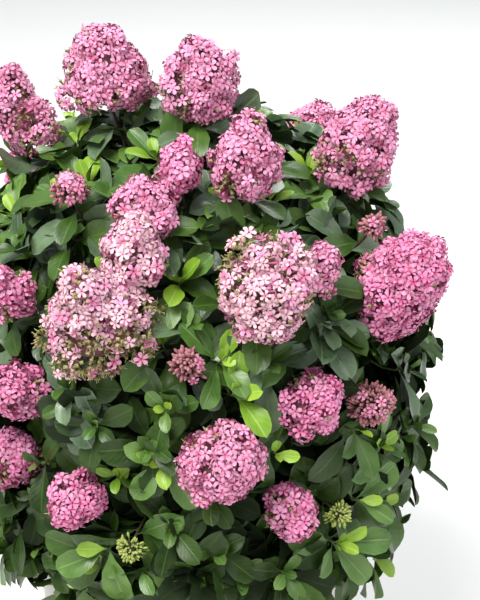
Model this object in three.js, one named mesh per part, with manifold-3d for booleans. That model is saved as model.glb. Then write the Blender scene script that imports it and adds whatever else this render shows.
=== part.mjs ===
// A potted escallonia: a dense evergreen shrub in full flower, on one short stem, in a plain round pot.
// Millimetres, +Z up. The origin is the middle of the pot's flat underside, and the front faces -Y.
// Directions into the crown are a turn from the front towards +X and a rise above level, in degrees.
import * as THREE from 'three';
import { mergeVertices } from 'three/addons/utils/BufferGeometryUtils.js';
import Module from 'manifold-3d';

const wasm = await Module();
wasm.setup();

// Driving dimensions
const clearance = 0.3; // between pieces that touch
const sliver = 0.1; // an edge is dropped where that moves the surface by less than this
const weld = 0.002; // corners this close are one corner
const roundedTo = 0.001; // how finely corners are written out

const pot = {
  height: 240,
  rimRadius: 140,
  bellyRadius: 145,
  bellyHeight: 165,
  shoulder: 0.74, // of the way from foot to belly radius, under half the belly's height
  shoulderHeight: 0.45,
  footRadius: 104,
  footEdge: 5,
  rimDepth: 20,
  rimProud: 3,
  wall: 9,
  floor: 12,
  rings: 5,
  facets: 30,
};
const compost = { belowRim: 22, crumb: 3 };

const crown = {
  centreHeight: 453,
  halfWidth: 212,
  up: 232,
  down: 262,
  squareness: 3.2, // of the lower half, which hangs over the rim
  lowestRise: -42, // of the evenly spread shoots
  spreadPoints: 88,
  seed: 41,
};
const skirt = { count: 16, rise: -54, firstTurn: 6, stagger: 4 }; // leafy shoots over the rim
// Leafy shoots stop below the heads: shares of the crown's radius, low and high in it, and the upward parts
// of a direction between which the one turns into the other
const leafyReach = { low: 0.98, high: 0.76, lowTo: -0.15, highFrom: 0.85 };

const trunk = {
  foot: pot.height - compost.belowRim + clearance,
  top: 515,
  footRadius: 12,
  topRadius: 4.5,
  flare: 6,
  flareHeight: 11,
  leanX: 9,
  leanY: -5,
  facets: 10,
  bends: 9,
};

// Rings of foliage masses: how many there are, their rise, where their boughs leave the trunk, how far out
// and how high those boughs end, and how far a core reaches from its middle.
const rings = [
  { name: 'upper', count: 5, rise: 44, firstTurn: 15, root: 370, tipOut: 42, tipHeight: 493, reach: 64 },
  { name: 'middle', count: 6, rise: 4, firstTurn: -14, root: 312, tipOut: 58, tipHeight: 429, reach: 66 },
  { name: 'lower', count: 6, rise: -48, firstTurn: 12, root: 246, tipOut: 60, tipHeight: 285, reach: 88 },
];
const bough = {
  rootStep: 6, // boughs of a ring leave the trunk this far above each other
  rootRadius: 4.4,
  tipRadius: 3.2,
  collar: 0.35, // how much thicker it is where it leaves the trunk
  collarFade: 9,
  bendOut: 0.55,
  bendUp: 0.3,
  facets: 5,
  bends: 4,
};

// The dense middle of a mass, which its twigs and leaves stand out of. Shares are of the crown's radius.
const core = {
  centreShare: 0.57,
  outerShare: 0.7,
  topReach: 62,
  ahead: 6,
  gap: 5,
  lumps: 0.07,
  fromHead: 0.54, // of a neighbour's flower head, from its centre
};
const stem = { rootRadius: 3, tipRadius: 2.1, straight: 0.4, twigsFrom: 0.6, facets: 5, bends: 4 };
const twig = {
  rootRadius: 2.1,
  tipRadius: 1.7,
  straight: 0.45,
  intoHead: 0.3,
  facets: 3,
  bends: 2,
  leafless: 0.6, // most of its length that is bare from the stem on
  steps: 40, // in which its way out of the core is looked for
};
// How far a twig and its head keep others' leaves off: points along it, then the head's own room
const ownSpace = { places: 8, headTop: 0.3, headShare: 0.22 };
const shootGrowth = { outward: 0.75, upward: 0.5, turnUp: 0.5 }; // turnUp counts more the higher it is

const leaf = {
  length: 64,
  width: 41,
  thickness: 2.2,
  widestAt: 0.56,
  droop: 0.16,
  fold: 0.1,
  sizes: [0.82, 1.08],
  perTwig: 7,
  perSkirtTwig: 7,
  spreadByHead: [44, 60], // from the twig's line, at its foot and its tip
  spreadOnShoot: [62, 44],
  lastByHead: 0.9, // share of the twig's length
  lastOnShoot: 0.98,
  tries: 8, // places that a leaf is turned on to before it is left off
  tryTurn: 67,
  tryShrink: 0.05,
  margin: 2, // how much nearer it keeps to its own mass's twigs than to any other's
};
const goldenTurn = 137.508; // degrees between one leaf, or shoot, and the next

const bloom = {
  around: 8,
  upright: 4,
  lumps: [1.06, 0.9],
  lowBelly: 0.22,
  flatFoot: 0.8,
  shrink: 0.93, // a head that meets another mass is tried this much smaller
  smallest: 0.5,
};

// The flower heads on the front, each at the crown's surface, with its real width and height. Reach is a
// share of the crown's radius in that direction.
const head = (turn, rise, width, height, stage = 'open', reach = 1) =>
  ({ turn, rise, width, height, stage, reach });
const frontHeads = [
  head(-77, 72, 84, 80),
  head(12, 75, 64, 76),
  head(-99, 49, 54, 86),
  head(-1, 53, 42, 48, 'open', 0.97),
  head(22, 53, 66, 76),
  head(74, 47, 76, 86),
  head(-37, 45, 32, 28, 'bud', 0.97),
  head(-12, 44, 60, 46, 'open', 0.95),
  head(-12, 34, 58, 60),
  head(-19, 20, 98, 106, 'fading', 1.03),
  head(19, 24.5, 92, 88, 'fading'),
  head(34, 27, 40, 46),
  head(58, 17, 80, 100, 'open', 1.02),
  head(58, 31, 25, 24, 'bud', 0.98),
  head(-45, 19, 44, 52),
  head(-41, -3, 50, 62),
  head(-46, -21, 50, 62),
  head(-25, -25, 50, 54),
  head(8, -12, 68, 80, 'open', 1.02),
  head(30, -3, 54, 58),
  head(47, -8, 40, 44, 'bud'),
  head(25, -28, 46, 54),
  head(1, 10, 29, 29, 'bud', 0.98),
  head(-13, -34.5, 30, 24, 'green'),
  head(39, -32, 28, 22, 'green'),
];
const frontHalf = 104; // degrees to each side of the front where only those heads stand
const backHeads = {
  every: 2,
  highest: 45,
  proud: 0.05, // how much further out than leafy shoots, as a share of the crown's radius
  widths: [50, 84],
  heightShares: [0.95, 1.2],
  fadingFrom: 0.8,
};
const headRoom = { least: 32, share: 0.34 }; // between a shoot and a head of some width
const againstHead = 0.4; // share of two heads' widths within which they grow as one cluster

const radians = THREE.MathUtils.degToRad;
const degrees = THREE.MathUtils.radToDeg;
const mix = THREE.MathUtils.lerp;
const between = ([low, high], share) => mix(low, high, share);
const vertical = new THREE.Vector3(0, 0, 1);
const leafZero = new THREE.Vector3(0.3, 0.2, 0.93).normalize(); // turns round a twig start across this
const sectionZero = new THREE.Vector3(0.31, 0.87, -0.38).normalize(); // and a rod's corners across this
const crownCentre = new THREE.Vector3(0, 0, crown.centreHeight);

// A repeatable stream of numbers from 0 to 1.
function seeded(seed) {
  let state = seed >>> 0;
  return () => {
    state = (state + 0x6d2b79f5) >>> 0;
    let t = state;
    t = Math.imul(t ^ (t >>> 15), t | 1);
    t ^= t + Math.imul(t ^ (t >>> 7), t | 61);
    return ((t ^ (t >>> 14)) >>> 0) / 4294967296;
  };
}

function direction(turn, rise) {
  const level = Math.cos(radians(rise));
  return new THREE.Vector3(
    Math.sin(radians(turn)) * level,
    -Math.cos(radians(turn)) * level,
    Math.sin(radians(rise)),
  );
}

// The crown's radius along a direction: a dome above its centre, and squarer below.
function crownRadius(way) {
  const level = Math.hypot(way.x, way.y) / crown.halfWidth;
  if (way.z > 0) return 1 / Math.hypot(level, way.z / crown.up);
  const power = crown.squareness;
  return (level ** power + (-way.z / crown.down) ** power) ** (-1 / power);
}

// How far out a point is, as a share of the crown's radius in its direction.
function crownShare(point) {
  const out = point.clone().sub(crownCentre);
  const distance = out.length();
  return distance / crownRadius(out.divideScalar(distance));
}

const onCrown = (way, share) => crownCentre.clone().addScaledVector(way, crownRadius(way) * share);

// A manifold solid from a three.js geometry.
function solidOf(geometry) {
  const bare = geometry.clone();
  bare.deleteAttribute('normal');
  bare.deleteAttribute('uv');
  const merged = mergeVertices(bare, weld);
  return new wasm.Manifold(
    new wasm.Mesh({
      numProp: 3,
      vertProperties: new Float32Array(merged.attributes.position.array),
      triVerts: new Uint32Array(merged.index.array),
    }),
  );
}

// A three.js geometry from a manifold solid.
function geometryOf(solid) {
  const mesh = solid.getMesh();
  const position = new THREE.BufferAttribute(new Float32Array(mesh.vertProperties), 3);
  const geometry = new THREE.BufferGeometry().setAttribute('position', position);
  geometry.setIndex(new THREE.BufferAttribute(new Uint32Array(mesh.triVerts), 1));
  geometry.computeVertexNormals();
  return geometry;
}

// One closed body from a fused solid: hollows that it closes off are filled in, and slivers are dropped.
function oneBody(solid) {
  const largest = (whole) =>
    whole.decompose().reduce((best, body) => (body.volume() > best.volume() ? body : best));
  return largest(solidOf(geometryOf(largest(solid.simplify(sliver)))));
}

// True if every edge of a solid has just two faces, with its corners rounded as they are when written out.
function closesCleanly(solid) {
  const { vertProperties, triVerts } = solid.getMesh();
  const corners = Array.from({ length: vertProperties.length / 3 }, (_, i) =>
    Array.from(vertProperties.subarray(i * 3, i * 3 + 3), (value) => Math.round(value / roundedTo)).join());
  const faces = new Map();
  for (let i = 0; i < triVerts.length; i++) {
    const next = i % 3 === 2 ? i - 2 : i + 1;
    const edge = [corners[triVerts[i]], corners[triVerts[next]]].sort().join(' ');
    faces.set(edge, (faces.get(edge) ?? 0) + 1);
  }
  return [...faces.values()].every((count) => count === 2);
}

function meets(a, b) {
  const boxA = a.boundingBox();
  const boxB = b.boundingBox();
  const apart = [0, 1, 2].some((k) => boxA.min[k] > boxB.max[k] || boxB.min[k] > boxA.max[k]);
  return !apart && a.intersect(b).volume() > 0;
}

// A solid rod that follows a curve, with a radius given at each share of its length.
function rod(curve, radiusAt, { facets, bends }) {
  const geometry = new THREE.CylinderGeometry(1, 1, 1, facets, bends);
  const position = geometry.attributes.position;
  const sections = Array.from({ length: bends + 1 }, (_, i) => {
    const along = curve.getTangentAt(i / bends);
    const side = sectionZero.clone().cross(along).normalize();
    return { centre: curve.getPointAt(i / bends), side, up: along.clone().cross(side) };
  });
  const corner = new THREE.Vector3();
  for (let i = 0; i < position.count; i++) {
    const share = position.getY(i) + 0.5;
    const { centre, side, up } = sections[Math.round(share * bends)];
    const radius = radiusAt(share);
    corner.copy(centre);
    corner.addScaledVector(side, position.getZ(i) * radius);
    corner.addScaledVector(up, position.getX(i) * radius);
    position.setXYZ(i, corner.x, corner.y, corner.z);
  }
  return solidOf(geometry);
}

const taper = ({ rootRadius, tipRadius }) => (share) => mix(rootRadius, tipRadius, share);

function turned(profile) {
  const points = profile.map(([radius, height]) => new THREE.Vector2(radius, height));
  return new THREE.LatheGeometry(points, pot.facets).rotateX(Math.PI / 2);
}

// The pot's outside, from its foot up over a soft belly to the rim.
const potOutline = new THREE.SplineCurve([
  new THREE.Vector2(pot.footRadius, pot.footEdge),
  new THREE.Vector2(
    mix(pot.footRadius, pot.bellyRadius, pot.shoulder),
    pot.bellyHeight * pot.shoulderHeight,
  ),
  new THREE.Vector2(pot.bellyRadius, pot.bellyHeight),
  new THREE.Vector2(pot.rimRadius - pot.rimProud, pot.height - pot.rimDepth),
]).getPoints(pot.rings).map((point) => [point.x, point.y]);

// The pot's inside radius at a height.
function insideRadius(height) {
  const next = potOutline.findIndex((point) => point[1] >= height);
  const [lowRadius, low] = potOutline[next - 1];
  const [highRadius, high] = potOutline[next];
  return mix(lowRadius, highRadius, (height - low) / (high - low)) - pot.wall;
}

const insidePoints = potOutline.filter(([, height]) => height > pot.floor * 2);

function potGeometry() {
  const innerRim = pot.rimRadius - pot.wall;
  return turned([
    [0, 0],
    [pot.footRadius - pot.footEdge, 0],
    ...potOutline,
    [pot.rimRadius, pot.height - pot.rimDepth + pot.rimProud],
    [pot.rimRadius, pot.height - pot.rimProud],
    [pot.rimRadius - pot.rimProud, pot.height],
    [innerRim, pot.height],
    [innerRim - pot.rimProud, pot.height - pot.rimProud],
    ...insidePoints.map(([radius, height]) => [radius - pot.wall, height]).reverse(),
    [pot.footRadius - pot.wall, pot.floor],
    [0, pot.floor],
  ]);
}

// Compost that fills the pot to just under its rim.
function compostGeometry() {
  const top = pot.height - compost.belowRim;
  const edge = top - compost.crumb;
  return turned([
    [0, pot.floor + clearance],
    [pot.footRadius - pot.wall - clearance, pot.floor + clearance],
    ...insidePoints
      .filter(([, height]) => height < edge)
      .map(([radius, height]) => [radius - pot.wall - clearance, height]),
    [insideRadius(edge) - clearance, edge],
    [insideRadius(top) - clearance - compost.crumb, top],
    [0, top],
  ]);
}

const trunkCurve = new THREE.QuadraticBezierCurve3(
  new THREE.Vector3(0, 0, trunk.foot),
  new THREE.Vector3(trunk.leanX, trunk.leanY, mix(trunk.foot, trunk.top, 0.5)),
  new THREE.Vector3(0, 0, trunk.top),
);

// The point of the trunk's centre line at a height.
const trunkAt = (height) => trunkCurve.getPoint((height - trunk.foot) / (trunk.top - trunk.foot));

// The trunk, or a copy grown by a margin that boughs are cut back to. Its foot is cut flat and level.
function trunkSolid(margin = 0) {
  const radiusAt = (share) => {
    const height = share * (trunk.top - trunk.foot);
    const flare = trunk.flare * Math.exp(-height / trunk.flareHeight);
    return mix(trunk.footRadius, trunk.topRadius, share) + flare + margin;
  };
  const wide = trunk.footRadius * 4;
  const below = new THREE.CylinderGeometry(wide, wide, wide, trunk.facets).rotateX(Math.PI / 2);
  below.translate(0, 0, trunk.foot - wide / 2);
  return rod(trunkCurve, radiusAt, trunk).subtract(solidOf(below));
}

function boughSolid(curve, trunkCut) {
  const radiusAt = (share) =>
    mix(bough.rootRadius, bough.tipRadius, share) * (1 + bough.collar * Math.exp(-share * bough.collarFade));
  return rod(curve, radiusAt, bough).subtract(trunkCut);
}

// Each mass has a middle direction and starts at its foot, along its bough or, for the top one, the trunk.
function layOutMasses() {
  const masses = [{
    name: 'foliage_top',
    middle: vertical,
    foot: trunkCurve.getPoint(1),
    along: vertical,
    outward: vertical,
    reach: core.topReach,
  }];
  for (const ring of rings) {
    for (let i = 0; i < ring.count; i++) {
      const turn = ring.firstTurn + (360 / ring.count) * i;
      const outward = direction(turn, 0);
      const order = i % 2 ? (i - 1) / 2 + Math.ceil(ring.count / 2) : i / 2; // neighbours are never level
      const root = trunkAt(ring.root + order * bough.rootStep);
      const tip = new THREE.Vector3(0, 0, ring.tipHeight).addScaledVector(outward, ring.tipOut);
      const bend = root.clone().addScaledVector(outward, ring.tipOut * bough.bendOut);
      bend.z += (tip.z - root.z) * bough.bendUp;
      const curve = new THREE.QuadraticBezierCurve3(root, bend, tip);
      masses.push({
        name: `foliage_${ring.name}_${i + 1}`,
        boughName: `bough_${ring.name}_${i + 1}`,
        middle: direction(turn, ring.rise),
        curve,
        foot: tip,
        along: curve.getTangent(1),
        outward,
        reach: ring.reach,
      });
    }
  }
  for (const mass of masses) {
    mass.centre = onCrown(mass.middle, core.centreShare);
    mass.shoots = [];
  }
  return masses;
}

// A shoot grows outwards and turns up. Its base is where its flower head starts, or its leafy tip.
function makeShoot(entry) {
  const way = direction(entry.turn, entry.rise);
  const centre = onCrown(way, entry.reach);
  const lift = shootGrowth.upward + shootGrowth.turnUp * way.z;
  const axis = way.clone().multiplyScalar(shootGrowth.outward).addScaledVector(vertical, lift).normalize();
  const base = centre.clone().addScaledVector(axis, -entry.height / 2);
  return { ...entry, way, centre, axis, base };
}

function leafyShare(way) {
  const step = (way.z - leafyReach.lowTo) / (leafyReach.highFrom - leafyReach.lowTo);
  return mix(leafyReach.low, leafyReach.high, THREE.MathUtils.clamp(step, 0, 1));
}

// Every shoot of the crown: the heads on the front, the skirt, then an even spread that fills in round them.
function layOutShoots() {
  const random = seeded(crown.seed);
  const shoots = frontHeads.map(makeShoot);
  for (let i = 0; i < skirt.count; i++) {
    const turn = skirt.firstTurn + (360 / skirt.count) * i;
    shoots.push(makeShoot(head(turn, skirt.rise + (i % 2) * skirt.stagger, 0, 0, 'skirt')));
  }
  let behindCount = 0;
  for (let i = 0; i < crown.spreadPoints; i++) {
    const rise = degrees(Math.asin(1 - (2 * (i + 0.5)) / crown.spreadPoints));
    const turn = ((i * goldenTurn) % 360) - 180;
    const size = random();
    const shape = random();
    if (rise < crown.lowestRise) continue;
    const way = direction(turn, rise);
    const place = onCrown(way, 1);
    const crowded = (shoot) =>
      shoot.centre.distanceTo(place) < headRoom.least + shoot.width * headRoom.share;
    if (shoots.some(crowded)) continue;
    const behind = Math.abs(turn) > frontHalf && rise < backHeads.highest;
    const blooms = behind && behindCount++ % backHeads.every === 0;
    const width = blooms ? between(backHeads.widths, size) : 0;
    const height = width * between(backHeads.heightShares, shape);
    const stage = shape > backHeads.fadingFrom ? 'fading' : 'open';
    const reach = leafyShare(way) + (blooms ? backHeads.proud : 0);
    shoots.push(makeShoot(head(turn, rise, width, height, blooms ? stage : 'leafy', reach)));
  }
  return shoots;
}

// Each shoot belongs to the mass that is nearest its direction, or to that of a head it grows up against.
function shareOutShoots(shoots, masses) {
  const placed = [];
  for (const shoot of shoots.sort((a, b) => b.width - a.width)) {
    const touching = (other) =>
      other.centre.distanceTo(shoot.centre) < (other.width + shoot.width) * againstHead;
    const cluster = shoot.width > 0 && placed.find(touching);
    const nearest = masses.reduce((best, mass) =>
      (mass.middle.dot(shoot.way) > best.middle.dot(shoot.way) ? mass : best));
    shoot.owner = cluster ? cluster.owner : nearest;
    shoot.owner.shoots.push(shoot);
    placed.push(shoot);
  }
}

// A mass's stem starts just clear of its bough's tip, and its twigs leave the stem inside the core.
function layOutTwigs(mass) {
  const start = mass.foot.clone().addScaledVector(mass.along, clearance);
  const bend = start.clone().addScaledVector(mass.along, start.distanceTo(mass.centre) * stem.straight);
  mass.stemCurve = new THREE.QuadraticBezierCurve3(start, bend, mass.centre);
  mass.twigs = mass.shoots.map((shoot, i) => {
    const from = mass.stemCurve.getPoint(mix(stem.twigsFrom, 1, i / Math.max(mass.shoots.length - 1, 1)));
    const reach = from.distanceTo(shoot.base);
    const curve = new THREE.QuadraticBezierCurve3(
      from,
      shoot.base.clone().addScaledVector(shoot.axis, -reach * twig.straight),
      shoot.base.clone().addScaledVector(shoot.axis, shoot.height * twig.intoHead),
    );
    const headTop = shoot.centre.clone().addScaledVector(shoot.axis, shoot.height * ownSpace.headTop);
    const places = [...curve.getPoints(ownSpace.places), shoot.centre, headTop];
    const steps = Array.from({ length: twig.steps * twig.leafless }, (_, k) => k / twig.steps);
    const outside = steps.find((share) => crownShare(curve.getPoint(share)) > core.outerShare);
    return { shoot, curve, places, emerges: outside ?? twig.leafless };
  });
}

// The core fills its mass's share of the crown, with a lumpy skin. It keeps a gap from the next mass's
// share and flower heads, and stays ahead of its bough's tip and above the rim.
function coreSolid(mass, masses, random) {
  const geometry = new THREE.IcosahedronGeometry(1, 1);
  const merged = mergeVertices(geometry.deleteAttribute('normal').deleteAttribute('uv'));
  const position = merged.attributes.position;
  const way = new THREE.Vector3();
  const others = masses.filter((other) => other !== mass);
  const heads = others.flatMap((other) => other.shoots).filter((shoot) => shoot.height > 0);
  const placeAt = (reach) => mass.centre.clone().addScaledVector(way, reach);
  const fits = (place) => {
    const fromFoot = place.clone().sub(mass.foot);
    const ahead = fromFoot.dot(mass.along) > core.ahead && fromFoot.dot(mass.outward) > 0;
    const inCrown = crownShare(place) < core.outerShare && place.z > pot.height + core.ahead;
    return ahead && inCrown
      && others.every((other) => {
        const across = other.centre.clone().sub(mass.centre);
        const half = (across.length() - core.gap) / 2;
        return place.clone().sub(mass.centre).dot(across.normalize()) < half;
      })
      && heads.every((shoot) =>
        place.distanceTo(shoot.centre) > Math.max(shoot.width, shoot.height) * core.fromHead + core.gap);
  };
  for (let i = 0; i < position.count; i++) {
    way.fromBufferAttribute(position, i).normalize();
    let reach = mass.reach;
    while (!fits(placeAt(reach))) reach -= 1;
    position.setXYZ(i, ...placeAt(reach * (1 - core.lumps * random())).toArray());
  }
  return solidOf(merged);
}

// A lumpy dome or blunt cone of flowers, standing on its shoot.
function headSolid(shoot, scale) {
  const geometry = new THREE.SphereGeometry(1, bloom.around, bloom.upright);
  const position = geometry.attributes.position;
  const spin = new THREE.Quaternion().setFromUnitVectors(new THREE.Vector3(0, 1, 0), shoot.axis);
  const corner = new THREE.Vector3();
  for (let i = 0; i < position.count; i++) {
    corner.fromBufferAttribute(position, i);
    const column = Math.round((Math.atan2(corner.z, corner.x) / (2 * Math.PI)) * bloom.around);
    const row = Math.round((corner.y * bloom.upright) / 2);
    const lump = bloom.lumps[Math.abs(column + row) % 2];
    const wide = (1 - bloom.lowBelly * corner.y) * lump * shoot.width * 0.5;
    const tall = (corner.y < -0.9 ? bloom.flatFoot : 1) * shoot.height * 0.5;
    corner.set(corner.x * wide, corner.y * tall, corner.z * wide);
    corner.multiplyScalar(scale).applyQuaternion(spin).add(shoot.centre);
    position.setXYZ(i, corner.x, corner.y, corner.z);
  }
  return solidOf(geometry);
}

// One leaf: a thin eight-sided blade, folded along its middle and drooping, with its root in a twig.
function leafBlade(root, along, across, size) {
  const geometry = new THREE.OctahedronGeometry(1);
  const position = geometry.attributes.position;
  const face = along.clone().cross(across).normalize();
  const length = leaf.length * size;
  const width = leaf.width * size;
  const corner = new THREE.Vector3();
  for (let i = 0; i < position.count; i++) {
    const end = Math.round(position.getX(i));
    const side = Math.round(position.getY(i));
    const skin = Math.round(position.getZ(i));
    const share = [0, leaf.widestAt, 1][end + 1];
    const sag = share * share * length * leaf.droop - Math.abs(side) * width * leaf.fold;
    corner.copy(root).addScaledVector(along, share * length);
    corner.addScaledVector(across, side * width * 0.5);
    corner.addScaledVector(face, skin * leaf.thickness * 0.5 - sag);
    position.setXYZ(i, corner.x, corner.y, corner.z);
  }
  return geometry;
}

// A leaf at a share of its twig's length, turned round the twig.
function leafAt({ shoot, curve }, share, turn, size) {
  const stemWay = curve.getTangent(share);
  const side = new THREE.Vector3().crossVectors(stemWay, leafZero).normalize();
  side.applyAxisAngle(stemWay, radians(turn));
  const spread = radians(between(shoot.height ? leaf.spreadByHead : leaf.spreadOnShoot, share));
  const along = stemWay.clone().multiplyScalar(Math.cos(spread)).addScaledVector(side, Math.sin(spread));
  const across = stemWay.clone().cross(along).normalize();
  return leafBlade(curve.getPoint(share), along, across, size);
}

// True if every corner of a blade is nearer to this mass's own twigs than to any other's.
function keepsToItsSpace(geometry, mass, masses) {
  const position = geometry.attributes.position;
  const corner = new THREE.Vector3();
  const nearest = (owner) =>
    Math.min(...owner.twigs.map((grown) =>
      Math.min(...grown.places.map((place) => place.distanceTo(corner)))
        - grown.shoot.width * ownSpace.headShare));
  for (let i = 0; i < position.count; i++) {
    corner.fromBufferAttribute(position, i);
    const own = nearest(mass) + leaf.margin;
    if (masses.some((other) => other !== mass && nearest(other) < own)) return false;
  }
  return true;
}

// Fuses a piece to its mass if the joined body closes cleanly.
function join(mass, piece) {
  const joined = oneBody(mass.body.add(piece));
  if (!closesCleanly(joined)) return false;
  mass.body = joined;
  mass.pieces.push(piece);
  return true;
}

// Grows every mass among the solids that are there already: stems, cores and twigs, then the flower heads,
// then the leaves that find room.
function growMasses(masses, fixed) {
  const coreRandom = seeded(crown.seed - 1);
  const notIn = (mass) =>
    [...fixed, ...masses.filter((other) => other !== mass).flatMap((other) => other.pieces)];
  const clear = (piece, solids) => !solids.some((solid) => meets(piece, solid));

  for (const mass of masses) mass.pieces = [];
  for (const mass of masses) {
    mass.body = rod(mass.stemCurve, taper(stem), stem);
    mass.pieces.push(mass.body);
    join(mass, coreSolid(mass, masses, coreRandom));
    mass.bare = mass.pieces.slice(); // leaves may spring from these
    mass.twigs = mass.twigs.filter((grown) => {
      grown.solid = rod(grown.curve, taper(twig), twig);
      return clear(grown.solid, notIn(mass)) && join(mass, grown.solid);
    });
  }

  for (const mass of masses) {
    for (const { shoot } of mass.twigs.filter((grown) => grown.shoot.height > 0)) {
      const near = notIn(mass);
      const fitsAt = (scale) => {
        const piece = headSolid(shoot, scale);
        return clear(piece, near) && join(mass, piece);
      };
      let scale = 1;
      while (scale > bloom.smallest && !fitsAt(scale)) scale *= bloom.shrink;
    }
  }

  const bodies = new Map(masses.map((mass) => [mass, mass.body]));
  masses.forEach((mass, index) => {
    const random = seeded(crown.seed + index + 1);
    const near = [...fixed, ...masses.filter((other) => other !== mass).map((other) => bodies.get(other))];
    for (const grown of mass.twigs) {
      const firstTurn = random() * 360;
      const count = grown.shoot.stage === 'skirt' ? leaf.perSkirtTwig : leaf.perTwig;
      const last = grown.shoot.height ? leaf.lastByHead : leaf.lastOnShoot;
      for (let i = 0; i < count; i++) {
        const share = mix(grown.emerges, last, i / (count - 1));
        const size = between(leaf.sizes, random());
        const findsRoom = (_, k) => {
          const turn = firstTurn + goldenTurn * i + leaf.tryTurn * k;
          const geometry = leafAt(grown, share, turn, size * (1 - leaf.tryShrink * k));
          if (!keepsToItsSpace(geometry, mass, masses)) return false;
          const blade = solidOf(geometry);
          const own = mass.pieces.filter((piece) => piece !== grown.solid && !mass.bare.includes(piece));
          return clear(blade, near) && clear(blade, own) && join(mass, blade);
        };
        Array.from({ length: leaf.tries }).some(findsRoom);
      }
    }
  });
}

// The looks of each kind of piece
const looks = {
  pot: new THREE.MeshStandardMaterial({ color: 0xe4e1dc, roughness: 0.55, metalness: 0 }),
  compost: new THREE.MeshStandardMaterial({ color: 0x2f241c, roughness: 1, metalness: 0 }),
  bark: new THREE.MeshStandardMaterial({ color: 0x6b5544, roughness: 0.9, metalness: 0 }),
  foliage: new THREE.MeshStandardMaterial({ color: 0x3f5f3a, roughness: 0.5, metalness: 0 }),
};

const potted = new THREE.Group();

function show(name, geometry, material) {
  const mesh = new THREE.Mesh(geometry, material);
  mesh.name = name;
  potted.add(mesh);
}

show('pot', potGeometry(), looks.pot);
show('compost', compostGeometry(), looks.compost);

const trunkCut = trunkSolid(clearance);
const limbs = [trunkSolid()];
show('trunk', geometryOf(limbs[0]), looks.bark);

const masses = layOutMasses();
for (const mass of masses.filter((entry) => entry.curve)) {
  const solid = boughSolid(mass.curve, trunkCut);
  limbs.push(solid);
  show(mass.boughName, geometryOf(solid), looks.bark);
}

shareOutShoots(layOutShoots(), masses);
masses.forEach(layOutTwigs);
growMasses(masses, [solidOf(potGeometry()), solidOf(compostGeometry()), ...limbs]);
for (const mass of masses) show(mass.name, geometryOf(mass.body), looks.foliage);

export default potted;
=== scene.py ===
# A potted escallonia in full flower. Lengths are in millimetres until a mesh is made.
import math
import bpy
import numpy as np
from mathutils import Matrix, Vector


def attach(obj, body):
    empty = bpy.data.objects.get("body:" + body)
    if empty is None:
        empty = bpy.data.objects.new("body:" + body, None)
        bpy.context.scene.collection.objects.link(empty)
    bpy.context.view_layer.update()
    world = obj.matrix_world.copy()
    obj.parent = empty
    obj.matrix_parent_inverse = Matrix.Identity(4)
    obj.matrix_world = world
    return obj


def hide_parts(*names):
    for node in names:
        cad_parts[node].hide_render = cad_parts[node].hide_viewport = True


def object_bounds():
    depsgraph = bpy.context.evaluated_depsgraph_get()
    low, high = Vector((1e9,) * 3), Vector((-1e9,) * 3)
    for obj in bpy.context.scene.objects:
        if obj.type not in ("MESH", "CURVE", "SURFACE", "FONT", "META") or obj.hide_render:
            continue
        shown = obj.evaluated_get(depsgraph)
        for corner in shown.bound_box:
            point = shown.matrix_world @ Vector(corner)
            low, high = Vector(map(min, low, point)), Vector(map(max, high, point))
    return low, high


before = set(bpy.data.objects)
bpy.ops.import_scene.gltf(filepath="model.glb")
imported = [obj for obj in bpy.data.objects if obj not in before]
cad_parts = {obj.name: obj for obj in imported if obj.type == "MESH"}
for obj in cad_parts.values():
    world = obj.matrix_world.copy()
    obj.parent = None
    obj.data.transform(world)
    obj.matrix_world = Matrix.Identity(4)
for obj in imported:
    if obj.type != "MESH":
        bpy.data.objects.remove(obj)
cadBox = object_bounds()
mm = 0.001
up = np.array([0.0, 0.0, 1.0])
goldenTurn = 137.508  # degrees between one leaf, floret or shoot and the next
wholeTurn = 6.28  # radians, for a turn drawn at random
print("frame loaded:", len(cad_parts), "nodes")


# Small sums that every piece uses

def vec(x, y, z):
    return np.array([x, y, z], float)


def unit(v):
    return v / np.linalg.norm(v)


def mix(a, b, share):
    return a + (b - a) * share


def turnAbout(v, axis, angle):  # angle in radians
    along = axis * (axis @ v)
    return v * math.cos(angle) + np.cross(axis, v) * math.sin(angle) + along * (1 - math.cos(angle))


def sideOf(way, zero):
    return unit(np.cross(way, zero))


def pointOn(curve, t):
    a, b, c = curve
    return a * (1 - t) ** 2 + b * (2 * t * (1 - t)) + c * t * t


def wayAlong(curve, t):
    a, b, c = curve
    return unit((b - a) * (1 - t) + (c - b) * t)


def seeded(seed):  # the same stream of numbers that the solids were grown from
    state = [seed & 0xFFFFFFFF]

    def draw():
        state[0] = (state[0] + 0x6D2B79F5) & 0xFFFFFFFF
        t = state[0]
        t = ((t ^ (t >> 15)) * (t | 1)) & 0xFFFFFFFF
        t ^= (t + ((t ^ (t >> 7)) * (t | 61) & 0xFFFFFFFF)) & 0xFFFFFFFF
        return ((t ^ (t >> 14)) & 0xFFFFFFFF) / 4294967296

    return draw


# How the plant grows: the same rule and sizes as its solids

crown = {"centreHeight": 453, "halfWidth": 212, "up": 232, "down": 262, "squareness": 3.2,
         "lowestRise": -42, "spreadPoints": 88, "seed": 41}
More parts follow.
